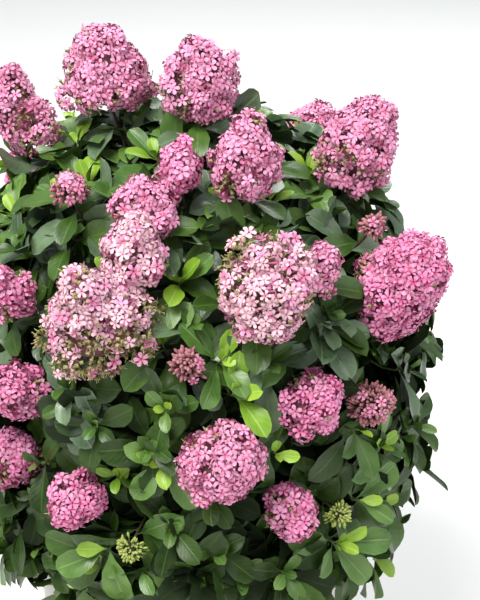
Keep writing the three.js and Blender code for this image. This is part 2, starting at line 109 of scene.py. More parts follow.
# leafy shoots stop below the heads: how far out they come low and high in the crown, as shares of it
leafyReach = {"low": 0.98, "high": 0.76, "lowTo": -0.15, "highFrom": 0.85}
skirt = {"count": 16, "rise": -54, "firstTurn": 6, "stagger": 4}
trunk = {"foot": 218.3, "top": 515, "footRadius": 12, "topRadius": 4.5, "flare": 6, "flareHeight": 11,
         "leanX": 9, "leanY": -5, "mesh": (28, 110)}  # a limb's mesh: points round it and steps along it
rings = [
    {"name": "upper", "count": 5, "rise": 44, "firstTurn": 15, "root": 370, "tipOut": 42, "tipHeight": 493},
    {"name": "middle", "count": 6, "rise": 4, "firstTurn": -14, "root": 312, "tipOut": 58, "tipHeight": 429},
    {"name": "lower", "count": 6, "rise": -48, "firstTurn": 12, "root": 246, "tipOut": 60, "tipHeight": 285},
]
bough = {"rootStep": 6, "rootRadius": 4.4, "tipRadius": 3.2, "collar": 0.35, "collarFade": 9,
         "bendOut": 0.55, "bendUp": 0.3, "mesh": (14, 44)}
stem = {"rootRadius": 3, "tipRadius": 2.1, "straight": 0.4, "twigsFrom": 0.6, "centreShare": 0.57,
        "mesh": (8, 14)}
twig = {"rootRadius": 2.0, "tipRadius": 1.2, "straight": 0.45, "intoHead": 0.3, "mesh": (6, 12)}
growth = {"outward": 0.75, "upward": 0.5, "turnUp": 0.5}
backHeads = {"every": 2, "highest": 45, "proud": 0.05, "widths": (50, 84), "heightShares": (0.95, 1.2),
             "fadingFrom": 0.8, "deepTo": 0.35}
headRoom = {"least": 32, "share": 0.34}
frontHalf = 104  # degrees to each side of the front where only the listed heads stand
againstHead = 0.4  # heads nearer to each other than this share of both widths grow from one mass

# Flower heads on the front: turn, rise, width, height, stage, reach, colour, and for some how much they taper
frontHeads = [
    (-77, 72, 84, 80, "open", 1, "rose"), (12, 75, 64, 76, "open", 1, "rose"),
    (-99, 49, 54, 86, "open", 1, "rose"), (-1, 53, 42, 48, "open", 0.97, "deep"),
    (22, 53, 66, 76, "open", 1, "rose", 0.5), (74, 47, 76, 86, "open", 1, "rose"),
    (-37, 45, 32, 28, "bud", 0.97, "rose"), (-12, 44, 60, 46, "open", 0.95, "rose"),
    (-12, 34, 58, 60, "open", 1, "pale", 0.3), (-19, 20, 98, 106, "fading", 1.03, "pale"),
    (19, 24.5, 92, 88, "fading", 1, "pale", -0.32), (34, 27, 40, 46, "open", 1, "rose"),
    (58, 17, 80, 100, "open", 1.02, "deep", 0.12), (58, 31, 25, 24, "bud", 0.98, "deep"),
    (-45, 19, 44, 52, "open", 1, "deep"), (-41, -3, 50, 62, "open", 1, "deep"),
    (-46, -21, 50, 62, "open", 1, "deep"), (-25, -25, 50, 54, "open", 1, "deep"),
    (8, -12, 68, 80, "open", 1.02, "rose", -0.25), (30, -3, 54, 58, "open", 1, "deep"),
    (47, -8, 40, 44, "bud", 1, "deep"), (25, -28, 46, 54, "open", 1, "deep"),
    (1, 10, 29, 29, "bud", 0.98, "deep"), (-13, -34.5, 30, 24, "green", 1, "deep"),
    (39, -32, 28, 22, "green", 1, "deep"),
]


def direction(turn, rise):
    t, r = math.radians(turn), math.radians(rise)
    return vec(math.sin(t) * math.cos(r), -math.cos(t) * math.cos(r), math.sin(r))


def crownRadius(way):
    level = math.hypot(way[0], way[1]) / crown["halfWidth"]
    if way[2] > 0:
        return 1 / math.hypot(level, way[2] / crown["up"])
    power = crown["squareness"]
    return (level ** power + (-way[2] / crown["down"]) ** power) ** (-1 / power)


crownCentre = vec(0, 0, crown["centreHeight"])


def onCrown(way, share):
    return crownCentre + way * crownRadius(way) * share


def leafyShare(way):  # how far out leafy shoots come, as a share of the crown
    step = (way[2] - leafyReach["lowTo"]) / (leafyReach["highFrom"] - leafyReach["lowTo"])
    return mix(leafyReach["low"], leafyReach["high"], min(max(step, 0), 1))


def growthAxis(way):
    return unit(way * growth["outward"] + up * (growth["upward"] + growth["turnUp"] * way[2]))


def makeShoot(turn, rise, width, height, stage, reach=1, tone="rose", belly=None):
    way = direction(turn, rise)
    centre = onCrown(way, reach)
    axis = growthAxis(way)
    return {"way": way, "centre": centre, "axis": axis, "base": centre - axis * height / 2, "width": width,
            "height": height, "stage": stage, "tone": tone, "belly": belly}


def layOutShoots():
    draw = seeded(crown["seed"])
    shoots = [makeShoot(*row) for row in frontHeads]
    for i in range(skirt["count"]):
        turn = skirt["firstTurn"] + 360 / skirt["count"] * i
        shoots.append(makeShoot(turn, skirt["rise"] + (i % 2) * skirt["stagger"], 0, 0, "skirt"))
    behindCount = 0
    for i in range(crown["spreadPoints"]):
        rise = math.degrees(math.asin(1 - 2 * (i + 0.5) / crown["spreadPoints"]))
        turn = (i * goldenTurn) % 360 - 180
        size, shape = draw(), draw()
        if rise < crown["lowestRise"]:
            continue
        place = onCrown(direction(turn, rise), 1)
        if any(np.linalg.norm(s["centre"] - place) < headRoom["least"] + s["width"] * headRoom["share"]
               for s in shoots):
            continue
        behind = abs(turn) > frontHalf and rise < backHeads["highest"]
        blooms = False
        if behind:
            blooms = behindCount % backHeads["every"] == 0
            behindCount += 1
        width = mix(*backHeads["widths"], size) if blooms else 0
        height = width * mix(*backHeads["heightShares"], shape)
        stage = ("fading" if shape > backHeads["fadingFrom"] else "open") if blooms else "leafy"
        tone = "pale" if stage == "fading" else ("deep" if size < backHeads["deepTo"] else "rose")
        reach = leafyShare(direction(turn, rise)) + (backHeads["proud"] if blooms else 0)
        shoots.append(makeShoot(turn, rise, width, height, stage, reach, tone))
    return shoots


trunkCurve = (vec(0, 0, trunk["foot"]),
              vec(trunk["leanX"], trunk["leanY"], mix(trunk["foot"], trunk["top"], 0.5)),
              vec(0, 0, trunk["top"]))


def layOutMasses():
    masses = [{"node": "foliage_top", "middle": up, "foot": trunkCurve[2], "along": up}]
    boughs = []
    for ring in rings:
        for i in range(ring["count"]):
            turn = ring["firstTurn"] + 360 / ring["count"] * i
            outward = direction(turn, 0)
            order = (i - 1) / 2 + math.ceil(ring["count"] / 2) if i % 2 else i / 2
            height = ring["root"] + order * bough["rootStep"]
            root = pointOn(trunkCurve, (height - trunk["foot"]) / (trunk["top"] - trunk["foot"]))
            tip = vec(0, 0, ring["tipHeight"]) + outward * ring["tipOut"]
            bend = (root + outward * ring["tipOut"] * bough["bendOut"]
                    + up * (tip[2] - root[2]) * bough["bendUp"])
            curve = (root, bend, tip)
            boughs.append(curve)
            masses.append({"node": f"foliage_{ring['name']}_{i + 1}", "middle": direction(turn, ring["rise"]),
                           "foot": tip, "along": wayAlong(curve, 1)})
    for mass in masses:
        centre = onCrown(mass["middle"], stem["centreShare"])
        bend = mass["foot"] + mass["along"] * np.linalg.norm(centre - mass["foot"]) * stem["straight"]
        mass["stem"] = (mass["foot"], bend, centre)
        mass["shoots"] = []
    return masses, boughs


def shareOut(shoots, masses):
    placed = []
    for shoot in sorted(shoots, key=lambda s: -s["width"]):
        owner = None
        for other in placed:
            apart = np.linalg.norm(other["centre"] - shoot["centre"])
            if shoot["width"] > 0 and apart < (other["width"] + shoot["width"]) * againstHead:
                owner = other["owner"]
                break
        if owner is None:
            owner = max(masses, key=lambda m: m["middle"] @ shoot["way"])
        shoot["owner"] = owner
        owner["shoots"].append(shoot)
        placed.append(shoot)


def growTwigs(mass):
    count = len(mass["shoots"])
    for i, shoot in enumerate(mass["shoots"]):
        start = pointOn(mass["stem"], mix(stem["twigsFrom"], 1, i / max(count - 1, 1)))
        reach = np.linalg.norm(shoot["base"] - start)
        shoot["curve"] = (start, shoot["base"] - shoot["axis"] * reach * twig["straight"],
                          shoot["base"] + shoot["axis"] * shoot["height"] * twig["intoHead"])


shoots = layOutShoots()
masses, boughs = layOutMasses()
shareOut(shoots, masses)
for mass in masses:
    growTwigs(mass)
foliageNodes = [mass["node"] for mass in masses]
boughNodes = [f"bough_{ring['name']}_{i + 1}" for ring in rings for i in range(ring["count"])]
heads = [s for s in shoots if s["height"] > 0]
print("laid out", len(shoots), "shoots,", len(heads), "flower heads,", len(masses), "masses")

headCentres = np.array([s["centre"] for s in heads])
headAxes = np.array([s["axis"] for s in heads])
headHalfWidths = np.array([s["width"] / 2 for s in heads])
headHalfHeights = np.array([s["height"] / 2 for s in heads])
# how clear of the flower heads shoots and leaves stay: a share of a head, and some millimetres, which tell
# more on the small ones
keepClear = {"shoots": (1, 14), "leaves": (0.66, 20)}
shootClear, leafClear = (share + (more / headHalfWidths) ** 2 for share, more in keepClear.values())


def insideHead(point, clear):  # whether any flower head, grown this much, holds the point
    away = point - headCentres
    along = np.einsum("ij,ij->i", away, headAxes)
    across = np.linalg.norm(away - along[:, None] * headAxes, axis=1)
    return ((along / headHalfHeights) ** 2 + (across / headHalfWidths) ** 2 < clear).any()


# Meshes made from arrays

def newHeap():
    return {"points": [], "faces": [], "grain": [], "count": 0}


def addTo(heap, points, faces, grain):
    heap["points"].append(points)
    heap["faces"].append(faces + heap["count"])
    heap["grain"].append(grain)
    heap["count"] += len(points)


def roundAngles(count):  # even angles round a ring
    return np.linspace(0, 2 * math.pi, count, endpoint=False)


def newObject(name, data):
    made = bpy.data.objects.new(name, data)
    bpy.context.scene.collection.objects.link(made)
    return made


def makePiece(name, heap, material, nodes=foliageNodes):
    points = np.concatenate(heap["points"]) * mm
    faces = np.concatenate(heap["faces"]).astype(np.int32)
    grain = np.concatenate(heap["grain"]).astype(np.float32)
    mesh = bpy.data.meshes.new(name)
    mesh.vertices.add(len(points))
    mesh.vertices.foreach_set("co", points.astype(np.float32).ravel())
    mesh.loops.add(faces.size)
    mesh.loops.foreach_set("vertex_index", faces.ravel())
    mesh.polygons.add(len(faces))
    mesh.polygons.foreach_set("loop_start", np.arange(0, faces.size, 3, dtype=np.int32))
    mesh.polygons.foreach_set("use_smooth", np.full(len(faces), True))
    mesh.attributes.new("grain", "FLOAT_VECTOR", "POINT").data.foreach_set("vector", grain.ravel())
    mesh.update(calc_edges=True)
    mesh.validate()
    mesh.materials.append(material)
    piece = newObject(name, mesh)
    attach(piece, "root")
    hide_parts(*nodes)
    print(f"{name}: {len(faces)} triangles")


def gridFaces(rows, columns, wraps=False):  # triangles of a grid of points, row by row
    wide = columns if wraps else columns - 1
    r, c = np.meshgrid(np.arange(rows - 1), np.arange(wide), indexing="ij")
    a = (r * columns + c).ravel()
    b = (r * columns + (c + 1) % columns).ravel()
    d, e = a + columns, b + columns
    return np.concatenate([np.stack([a, b, e], 1), np.stack([a, e, d], 1)])


def ballShape(rows, columns):  # a ball of radius 1, without the faces that have no area
    points = []
    for r in range(rows):
        z = math.cos(math.pi * r / (rows - 1))
        s = math.sin(math.pi * r / (rows - 1))
        points += [(s * math.cos(2 * math.pi * c / columns), s * math.sin(2 * math.pi * c / columns), z)
                   for c in range(columns)]
    faces = gridFaces(rows, columns, wraps=True)[:, ::-1]
    keep = [f for f in faces if len({tuple(np.round(points[i], 6)) for i in f}) == 3]
    return np.array(points), np.array(keep)


ringStart = unit(vec(0.31, 0.87, -0.38))  # settles which side each ring of a tube starts from


def tube(curve, radiusAt, sides, steps, relief=None):  # a bent limb, closed by a point at each end
    angles = roundAngles(sides)
    points, grain = [], []
    for share in np.linspace(0, 1, steps + 1):
        way = wayAlong(curve, share)
        side = sideOf(ringStart, way)
        over = np.cross(way, side)
        radius = np.full(sides, float(radiusAt(share)))
        if relief is not None:
            radius = radius * (1 + relief(angles, share))
        ring = np.cos(angles)[:, None] * side + np.sin(angles)[:, None] * over
        points.append(pointOn(curve, share) + ring * radius[:, None])
        grain.append(np.stack([angles / (2 * math.pi), np.full(sides, share), np.zeros(sides)], 1))
    points = np.vstack([*points, pointOn(curve, 0), pointOn(curve, 1)])
    grain = np.vstack([*grain, [0, 0, 0], [0, 1, 0]])
    foot, tip, topRing = len(points) - 2, len(points) - 1, steps * sides
    here = np.arange(sides)
    after = (here + 1) % sides
    faces = np.concatenate([gridFaces(steps + 1, sides, wraps=True),
                            np.stack([np.full(sides, foot), after, here], 1),
                            np.stack([np.full(sides, tip), topRing + here, topRing + after], 1)])
    return points, faces, grain


def taper(limb):
    return lambda share: mix(limb["rootRadius"], limb["tipRadius"], share)


# Material building

def newMaterial(name):
    material = bpy.data.materials.new(name)
    material.use_nodes = True
    tree = material.node_tree
    return material, tree, tree.nodes["Principled BSDF"]


def link(tree, a, b):
    tree.links.new(a, b)


def maths(tree, operation, a, b=None):  # a and b are numbers or sockets
    made = tree.nodes.new("ShaderNodeMath")
    made.operation = operation
    for socket, value in zip(made.inputs, (a, b)):
        if isinstance(value, (int, float)):
            socket.default_value = value
        elif value is not None:
            link(tree, value, socket)
    return made.outputs[0]


def times(tree, a, b):
    return maths(tree, "MULTIPLY", a, b)


def blendColours(tree, share, a, b):  # a and b are colours or sockets
    made = tree.nodes.new("ShaderNodeMix")
    made.data_type = "RGBA"
    for socket, value in ((made.inputs[0], share), (made.inputs[6], a), (made.inputs[7], b)):
        if isinstance(value, tuple):
            socket.default_value = (*value, 1)
        else:
            link(tree, value, socket)
    return made.outputs[2]


def noise(tree, scale, detail, roughness=0.5):
    place = tree.nodes.new("ShaderNodeTexCoord")
    made = tree.nodes.new("ShaderNodeTexNoise")
    for socket, value in (("Scale", scale), ("Detail", detail), ("Roughness", roughness)):
        made.inputs[socket].default_value = value
    link(tree, place.outputs["Object"], made.inputs["Vector"])
    return made.outputs["Fac"]


def ramp(tree, value, low, high, to=(0.0, 1.0)):
    made = tree.nodes.new("ShaderNodeMapRange")
    link(tree, value, made.inputs["Value"])
    for socket, end in zip(("From Min", "From Max", "To Min", "To Max"), (low, high, *to)):
        made.inputs[socket].default_value = end
    return made.outputs["Result"]


def grainOf(tree):  # across, along and a number of its own, for each leaf or petal
    made = tree.nodes.new("ShaderNodeAttribute")
    made.attribute_name = "grain"
    parts = tree.nodes.new("ShaderNodeSeparateXYZ")
    link(tree, made.outputs["Vector"], parts.inputs[0])
    return parts.outputs[0], parts.outputs[1], parts.outputs[2]


def addBump(tree, shader, height, relief, depth):
    made = tree.nodes.new("ShaderNodeBump")
    made.inputs["Strength"].default_value = relief
    made.inputs["Distance"].default_value = depth
    link(tree, height, made.inputs["Height"])
    link(tree, made.outputs["Normal"], shader.inputs["Normal"])


cloudEnds = (0.3, 0.7)  # the values of a cloud between which a surface changes


def setSurface(tree, shader, base, cloud, roughTo, shine):
    link(tree, base, shader.inputs["Base Color"])
    link(tree, ramp(tree, cloud, *cloudEnds, roughTo), shader.inputs["Roughness"])
    shader.inputs["Specular IOR Level"].default_value = shine


mottle = {"detail": (4, 0.6), "own": 0.5, "tints": (0.3, 0.72), "roughPlay": 0.07, "reliefFiner": 2.5,
          "reliefDetail": (5, 0.65), "shine": 0.35}


def mottledMaterial(name, look):  # two colours in clouds, and a fine relief
    material, tree, shader = newMaterial(name)
    own = grainOf(tree)[2]
    cloud = noise(tree, look["scale"], *mottle["detail"])
    tint = maths(tree, "ADD", cloud, times(tree, maths(tree, "SUBTRACT", own, 0.5), mottle["own"]))
    base = blendColours(tree, ramp(tree, tint, *mottle["tints"]), look["deep"], look["light"])
    roughTo = (look["rough"] - mottle["roughPlay"], look["rough"] + mottle["roughPlay"])
    setSurface(tree, shader, base, cloud, roughTo, mottle["shine"])
    lumps = noise(tree, look["scale"] * mottle["reliefFiner"], *mottle["reliefDetail"])
    addBump(tree, shader, lumps, look["relief"], look["depth"])
    return material


# Wood: the short trunk and the boughs, with ridged bark

bark = {"trunkRidges": (9, 0.1), "boughRidges": (5, 0.09),  # how many, and how deep as a share of the radius
        "firstPhase": 0.4, "phaseStep": 1.7,
        # how strong, and how many radians along the limb; a knot also has radians of twist
        "slowWaver": (0.5, 23), "quickWaver": (0.3, 57), "waverShare": 2, "knots": (0.35, 31, 9),
        "look": {"deep": (0.045, 0.03, 0.02), "light": (0.17, 0.12, 0.08), "scale": 160, "rough": 0.85,
                 "relief": 0.7, "depth": 0.0012}}


def barkRelief(ridges, depth, phase):  # ridges that waver along the limb, and knots
    (slow, slowRun), (quick, quickRun) = bark["slowWaver"], bark["quickWaver"]
    knot, knotRun, knotTwist = bark["knots"]

    def relief(angles, share):
        waver = slow * math.sin(share * slowRun + phase) + quick * math.sin(share * quickRun + 2 * phase)
        ridge = np.abs(np.sin(angles * ridges / 2 + waver * bark["waverShare"])) - 0.5
        knots = knot * np.sin(angles * 2 + phase + share * knotTwist) * math.sin(share * knotRun + phase)
        return depth * (ridge + knots)
    return relief


def trunkRadius(share):
    height = share * (trunk["top"] - trunk["foot"])
    flare = trunk["flare"] * math.exp(-height / trunk["flareHeight"])
    return mix(trunk["footRadius"], trunk["topRadius"], share) + flare


def boughRadius(share):  # thicker where it leaves the trunk
    swell = 1 + bough["collar"] * math.exp(-share * bough["collarFade"])
    return mix(bough["rootRadius"], bough["tipRadius"], share) * swell


def makeWood():
    heap = newHeap()
    relief = barkRelief(*bark["trunkRidges"], bark["firstPhase"])
    addTo(heap, *tube(trunkCurve, trunkRadius, *trunk["mesh"], relief))
    for i, curve in enumerate(boughs):
        relief = barkRelief(*bark["boughRidges"], i * bark["phaseStep"])
        addTo(heap, *tube(curve, boughRadius, *bough["mesh"], relief))
    material = mottledMaterial("ridgedBark", bark["look"])
    makePiece("trunk_and_boughs", heap, material, ["trunk", *boughNodes])


makeWood()


# Finer shoots that fill the crown between the flower heads

finer = {"lowest": -60, "flattest": -8, "from": (0.42, 0.78), "straight": 0.5, "rootRadius": 1.3,
         "tipRadius": 0.8, "turnPlay": 4, "oldTo": 0.55, "grownTo": 0.93, "parentAt": 0.7,
         "listedReach": 0.99, "mesh": (4, 6), "seed": 7}
layers = [
    {"name": "outer", "count": 380, "firstTurn": 0, "below": 90, "shares": (0.86, 1.03), "spacing": 40},
    {"name": "hanging", "count": 900, "firstTurn": 20, "below": -36, "shares": (0.97, 1.06), "spacing": 35},
    {"name": "deeper", "count": 430, "firstTurn": 60, "below": 90, "shares": (0.62, 0.8), "spacing": 26},
]
# leafy shoots that stand out on the front, and some on the back: turn, rise, how young, from 1 to 4, and for
# some how far out they come, as a share of the leafy surface
leafyShoots = [
    (-5, -14, 3), (12, 1, 4), (21, -14, 3), (-62, -46, 4, 1.05), (53, -22, 3), (60, -39, 2),
    (44.5, -30, 3, 1.03), (39.5, -38.5, 3, 1.03), (-19, -35, 3, 1.02), (-11, -39.5, 2, 1.02), (49, -53, 2),
    (-22, -40, 2), (-14, -51, 2), (14, -42, 2), (-3, -30, 1), (-28, -4, 1), (-1, 28, 4), (3, 17, 1),
    (-5, 13, 3), (9, 9, 3), (20, 7, 1), (86, -9, 3), (66, -8, 1), (39, 16, 1), (37, 48, 3),
    (73, 39, 2), (69, 50, 3), (16, 49, 2), (-128, 68, 4, 1.14), (-79, 58, 3, 1.05), (-111, 54, 3, 1.06),
    (-100, 38, 4, 1.04), (-75, 32, 3), (-40, 36, 2), (-48, 51, 4), (114, 51, 4), (40, 80, 3), (-20, -7, 1),
    (7, -36, 1), (35, -56, 1), (-2, -52, 1), (70, 0, 2), (12, 23, 2), (19, 36, 2), (-60, 45, 2), (-20, 66, 3),
    (150, 20, 3), (178, -12, 3), (-140, 8, 3), (-118, -25, 3), (160, 52, 3), (-165, 40, 3),
]


def wantShoots(random):  # the listed shoots first, and then each layer's, evenly round the crown
    wanted = []
    for turn, rise, level, *share in leafyShoots:
        wanted.append(("listed", turn, rise, share[0] if share else finer["listedReach"], level, 0))
    for layer in layers:
        for i in range(layer["count"]):
            rise = math.degrees(math.asin(1 - 2 * (i + 0.5) / layer["count"]))
            turn = (i * goldenTurn + layer["firstTurn"]) % 360 - 180
            share, pick, lean = random.random(3)
            level = 2 if pick < finer["grownTo"] else 3
            if pick < finer["oldTo"] or layer["name"] == "deeper":
                level = 1
            if finer["lowest"] < rise < layer["below"]:
                wanted.append((layer["name"], turn + finer["turnPlay"] * (lean - 0.5), rise,
                               mix(*layer["shares"], share), level, layer["spacing"]))
    return wanted


def growFiner():
    random = np.random.default_rng(finer["seed"])
    made, tips = [], []
    for name, turn, rise, share, level, spacing in wantShoots(random):
        way = direction(turn, rise)
        tip = onCrown(way, share * leafyShare(way))
        if name != "listed" and insideHead(tip, shootClear):
            continue
        if tips and np.linalg.norm(np.array(tips) - tip, axis=1).min() < spacing:
            continue
        owner = max(masses, key=lambda m: m["middle"] @ way)
        near = owner["shoots"] or shoots
        parent = min(near, key=lambda s: np.linalg.norm(pointOn(s["curve"], finer["parentAt"]) - tip))
        start = pointOn(parent["curve"], mix(*finer["from"], random.random()))
        axis = growthAxis(direction(turn, max(rise, finer["flattest"])))  # low shoots turn up at their tips
        bend = tip - axis * np.linalg.norm(tip - start) * finer["straight"]
        made.append({"curve": (start, bend, tip), "layer": name, "level": level})
        tips.append(tip)
    return made


finerShoots = growFiner()
print("grew", len(finerShoots), "finer shoots")

twigLook = {"deep": (0.05, 0.035, 0.02), "light": (0.12, 0.08, 0.05), "scale": 220, "rough": 0.75,
            "relief": 0.5, "depth": 0.0006}
greenLook = {"deep": (0.07, 0.1, 0.03), "light": (0.16, 0.2, 0.06), "scale": 300, "rough": 0.6,
             "relief": 0.3, "depth": 0.0004}


def makeTwigs():
    brown, green = newHeap(), newHeap()
    for mass in masses:
        addTo(brown, *tube(mass["stem"], taper(stem), *stem["mesh"]))
    for shoot in shoots:
        addTo(brown, *tube(shoot["curve"], taper(twig), *twig["mesh"]))
    for shoot in finerShoots:
        addTo(green, *tube(shoot["curve"], taper(finer), *finer["mesh"]))
    makePiece("twigs", brown, mottledMaterial("twigBark", twigLook))
    makePiece("green_shoots", green, mottledMaterial("greenShoot", greenLook))


makeTwigs()


# Leaves: a blunt blade, widest past its middle, folded along its rib, with a finely toothed edge

leaf = {"length": 50, "width": 23, "stalk": 0.1, "widest": 0.67, "rounding": 1.25, "bluntness": (2.6, 0.5),
        "narrowest": 0.06, "teeth": 0.03, "toothed": (0.3, 0.95), "fold": (0.15, 0.55),
        "foldShape": (1.6, 0.5), "curl": (0.15, 0.95), "wave": 0.05, "ripples": (9, 40, 1.5),
        "ripplesFrom": 0.15, "lengths": (0.84, 1.14), "widths": (0.88, 1.1), "turnPlay": 24,
        "spreadPlay": 18, "rollPlay": 26, "rootFrom": 0.1, "edge": 0.9, "leastBend": 1e-4, "perPiece": 2600,
        "seed": 23}
bladeGrids = {  # rows along a blade, as shares of it, and points across; the plain one is for the deep shade
    "fine": ((0, 0.1, 0.24, 0.4, 0.54, 0.67, 0.79, 0.89, 0.96, 1), 5),
    "plain": ((0, 0.12, 0.35, 0.6, 0.82, 0.94, 1), 3),
}
# a leaf is left out where a flower head holds a point of it, or a place this many millimetres under one
leafRoom = {"at": (0.4, 0.6, 0.8, 0.97), "below": (0, 12, 24, 36, 48), "middle": 0.6, "lightFromUp": 0.9}
leafZero = unit(vec(0.3, 0.2, 0.93))
# below: millimetres from the shoot's tip; from and to: shares along it; spread: degrees off its way;
# roomFrom: from which share of a blade on the flower heads count
whorls = {
    "rosette": {"leaves": 8, "below": (16, 3), "spread": (84, 54), "sizes": (1.04, 0.8)},
    "young": {"leaves": 4, "below": (3, 0.5), "spread": (40, 12), "sizes": (0.55, 0.3)},
    "bright": {"leaves": 5, "below": (5, 0.5), "spread": (52, 12), "sizes": (0.85, 0.45)},
    "stem": {"leaves": 4, "below": (44, 22), "spread": (78, 70), "sizes": (1.1, 1.0)},
    "deeper": {"leaves": 8, "below": (30, 2), "spread": (82, 40), "sizes": (1.1, 0.8)},
    "ruff": {"leaves": 8, "below": (20, 8), "spread": (84, 62), "sizes": (1.05, 0.85), "roomFrom": 0.5},
    "collar": {"leaves": 12, "from": 0.45, "to": 0.9, "spread": (66, 84), "sizes": (1.05, 0.9)},
    "inner": {"leaves": 8, "from": 0.1, "to": 0.6, "spread": (60, 70), "sizes": (1.05, 1.05)},
    "skirt": {"leaves": 12, "from": 0.35, "to": 1.0, "spread": (70, 28), "sizes": (1.1, 0.8)},
}
lowLeaves = {"height": 330, "larger": 1.16, "shadyTo": 430}  # both heights are of the shoot's tip; below shadyTo leaves are painted darker, as shade
greenFrom = 0.3  # leafy shoots whose way rises more than this, out of 1, have younger leaves
leafColours = {  # deep, light, rib, roughness, shine
    # shade: nearly black leaves set deep in the crown and low on it, as painted shade
    "shade": ((0.005, 0.011, 0.003), (0.016, 0.030, 0.009), (0.03, 0.045, 0.018), 0.55, 0.1),
    "deep": ((0.009, 0.024, 0.003), (0.032, 0.069, 0.009), (0.07, 0.12, 0.025), 0.37, 0.24),
    # the tone below: mature leaves high in the crown, paler and greyer with a painted sky sheen
    "sageSheen": ((0.031, 0.062, 0.026), (0.128, 0.196, 0.102), (0.19, 0.26, 0.14), 0.31, 0.6),
    "green": ((0.017, 0.046, 0.005), (0.057, 0.119, 0.018), (0.11, 0.18, 0.04), 0.34, 0.34),
    "fresh": ((0.042, 0.105, 0.016), (0.112, 0.205, 0.042), (0.19, 0.31, 0.09), 0.33, 0.38),
    "lime": ((0.13, 0.26, 0.015), (0.27, 0.42, 0.04), (0.38, 0.52, 0.13), 0.34, 0.4),
}
leafFinish = {"ribEdge": (0.1, 0.02), "ribShare": 0.5, "clouds": (90, 2), "cloudShare": 0.7, "ownShare": 0.6,
              "tints": (0.3, 1.0), "veins": 52.0, "veinSlant": 15.0, "veinFrom": 0.55, "veinShare": 0.07,
              "rimHighlight": (0.8, 0.25), "roughPlay": (-0.05, 0.08), "veinDepth": -0.5, "relief": 0.3,
              "depth": 0.0005}
levelTones = ("shade", "deep", "green", "fresh", "lime")  # level 0 to 4: painted shade, then the oldest leaves to the youngest
sheenFrom = {"height": 440, "blend": 150}  # mature leaves are paler high in the crown: a painted sheen of the sky on them
leafJobs = {tone: [] for tone in leafColours}
leafRandom = np.random.default_rng(leaf["seed"])
potGuard = {"radius": 148, "height": 243}  # no leaf reaches into the pot or its rim
tipsProud = 4  # how far soft tips may stand out of the solids' box
leanIn = 12  # how far a floret that comes out too far is set back
boxSlack = 0.1  # what rounding may leave outside the box after that
nearUpright = 0.9  # an axis that rises more than this, out of 1, takes its side from another line than up
boxLow, boxHigh = np.array(cadBox[0]) / mm - tipsProud, np.array(cadBox[1]) / mm + tipsProud


def leafMaterial(name, deep, light, rib, rough, shine):
    look = leafFinish
    material, tree, shader = newMaterial(name)
    across, along, own = grainOf(tree)
    fromRib = maths(tree, "ABSOLUTE", across)
    ribHere = ramp(tree, fromRib, *look["ribEdge"])
    cloud = noise(tree, *look["clouds"])
    tint = maths(tree, "ADD", times(tree, cloud, look["cloudShare"]), times(tree, own, look["ownShare"]))
    base = blendColours(tree, ramp(tree, tint, *look["tints"]), deep, light)
    slant = times(tree, fromRib, look["veinSlant"])
    slant = maths(tree, "SUBTRACT", times(tree, along, look["veins"]), slant)
    vein = ramp(tree, maths(tree, "SINE", slant), look["veinFrom"], 1.0)
    base = blendColours(tree, times(tree, vein, look["veinShare"]), base, rib)
    # paler towards the edge: a painted rim highlight
    edgeFrom, edgeShare = look["rimHighlight"]
    base = blendColours(tree, ramp(tree, fromRib, edgeFrom, 1.0, (0.0, edgeShare)), base, light)
    base = blendColours(tree, times(tree, ribHere, look["ribShare"]), base, rib)
    setSurface(tree, shader, base, cloud, [rough + play for play in look["roughPlay"]], shine)
    height = maths(tree, "SUBTRACT", times(tree, vein, look["veinDepth"]), ribHere)
    addBump(tree, shader, height, look["relief"], look["depth"])
    return material


def addLeaves(curve, whorl, levels):
    kind = whorls[whorl]
    turn = leafRandom.random() * 360
    pace = 2 * np.linalg.norm(curve[2] - curve[1])  # millimetres for each share, at the tip
    for i in range(kind["leaves"]):
        step = i / (kind["leaves"] - 1)
        if "below" in kind:
            share = max(1 - mix(*kind["below"], step) / pace, leaf["rootFrom"])
        else:
            share = mix(kind["from"], kind["to"], step)
        way = wayAlong(curve, share)
        root = pointOn(curve, share)
        jitter = leafRandom.random(6)
        angle = turn + goldenTurn * i + leaf["turnPlay"] * (jitter[0] - 0.5)
        side = turnAbout(sideOf(way, leafZero), way, math.radians(angle))
        spread = math.radians(mix(*kind["spread"], step) + leaf["spreadPlay"] * (jitter[1] - 0.5))
        along = way * math.cos(spread) + side * math.sin(spread)
        roll = math.radians(leaf["rollPlay"] * (jitter[2] - 0.5))
        across = turnAbout(unit(np.cross(way, along)), along, roll)
        size = mix(*kind["sizes"], step) * mix(*leaf["lengths"], jitter[3])
        if curve[2][2] < lowLeaves["height"]:
            size *= lowLeaves["larger"]
        length, width = leaf["length"] * size, leaf["width"] * size * mix(*leaf["widths"], jitter[4])
        blade = [root + along * length * at for at in leafRoom["at"] if at > kind.get("roomFrom", 0)]
        middle = root + along * length * leafRoom["middle"]
        toLight = unit(unit(middle - crownCentre) + up * leafRoom["lightFromUp"])
        if any(insideHead(p - toLight * below, leafClear) for p in blade for below in leafRoom["below"]):
            continue
        if any(p[2] < potGuard["height"] and math.hypot(p[0], p[1]) < potGuard["radius"] for p in blade):
            continue
        tone = levelTones[levels[min(int(step * len(levels)), len(levels) - 1)]]
        # mature leaves high in the crown take the paler tone: painted sky sheen
        if tone == "deep" and root[2] + sheenFrom["blend"] * (jitter[5] - 0.5) > sheenFrom["height"]:
            tone = "sageSheen"
        fold, curl = mix(*leaf["fold"], jitter[0]), mix(*leaf["curl"], jitter[4])
        leafJobs[tone].append((*root, *along, *across, length, width, fold, curl, jitter[2]))


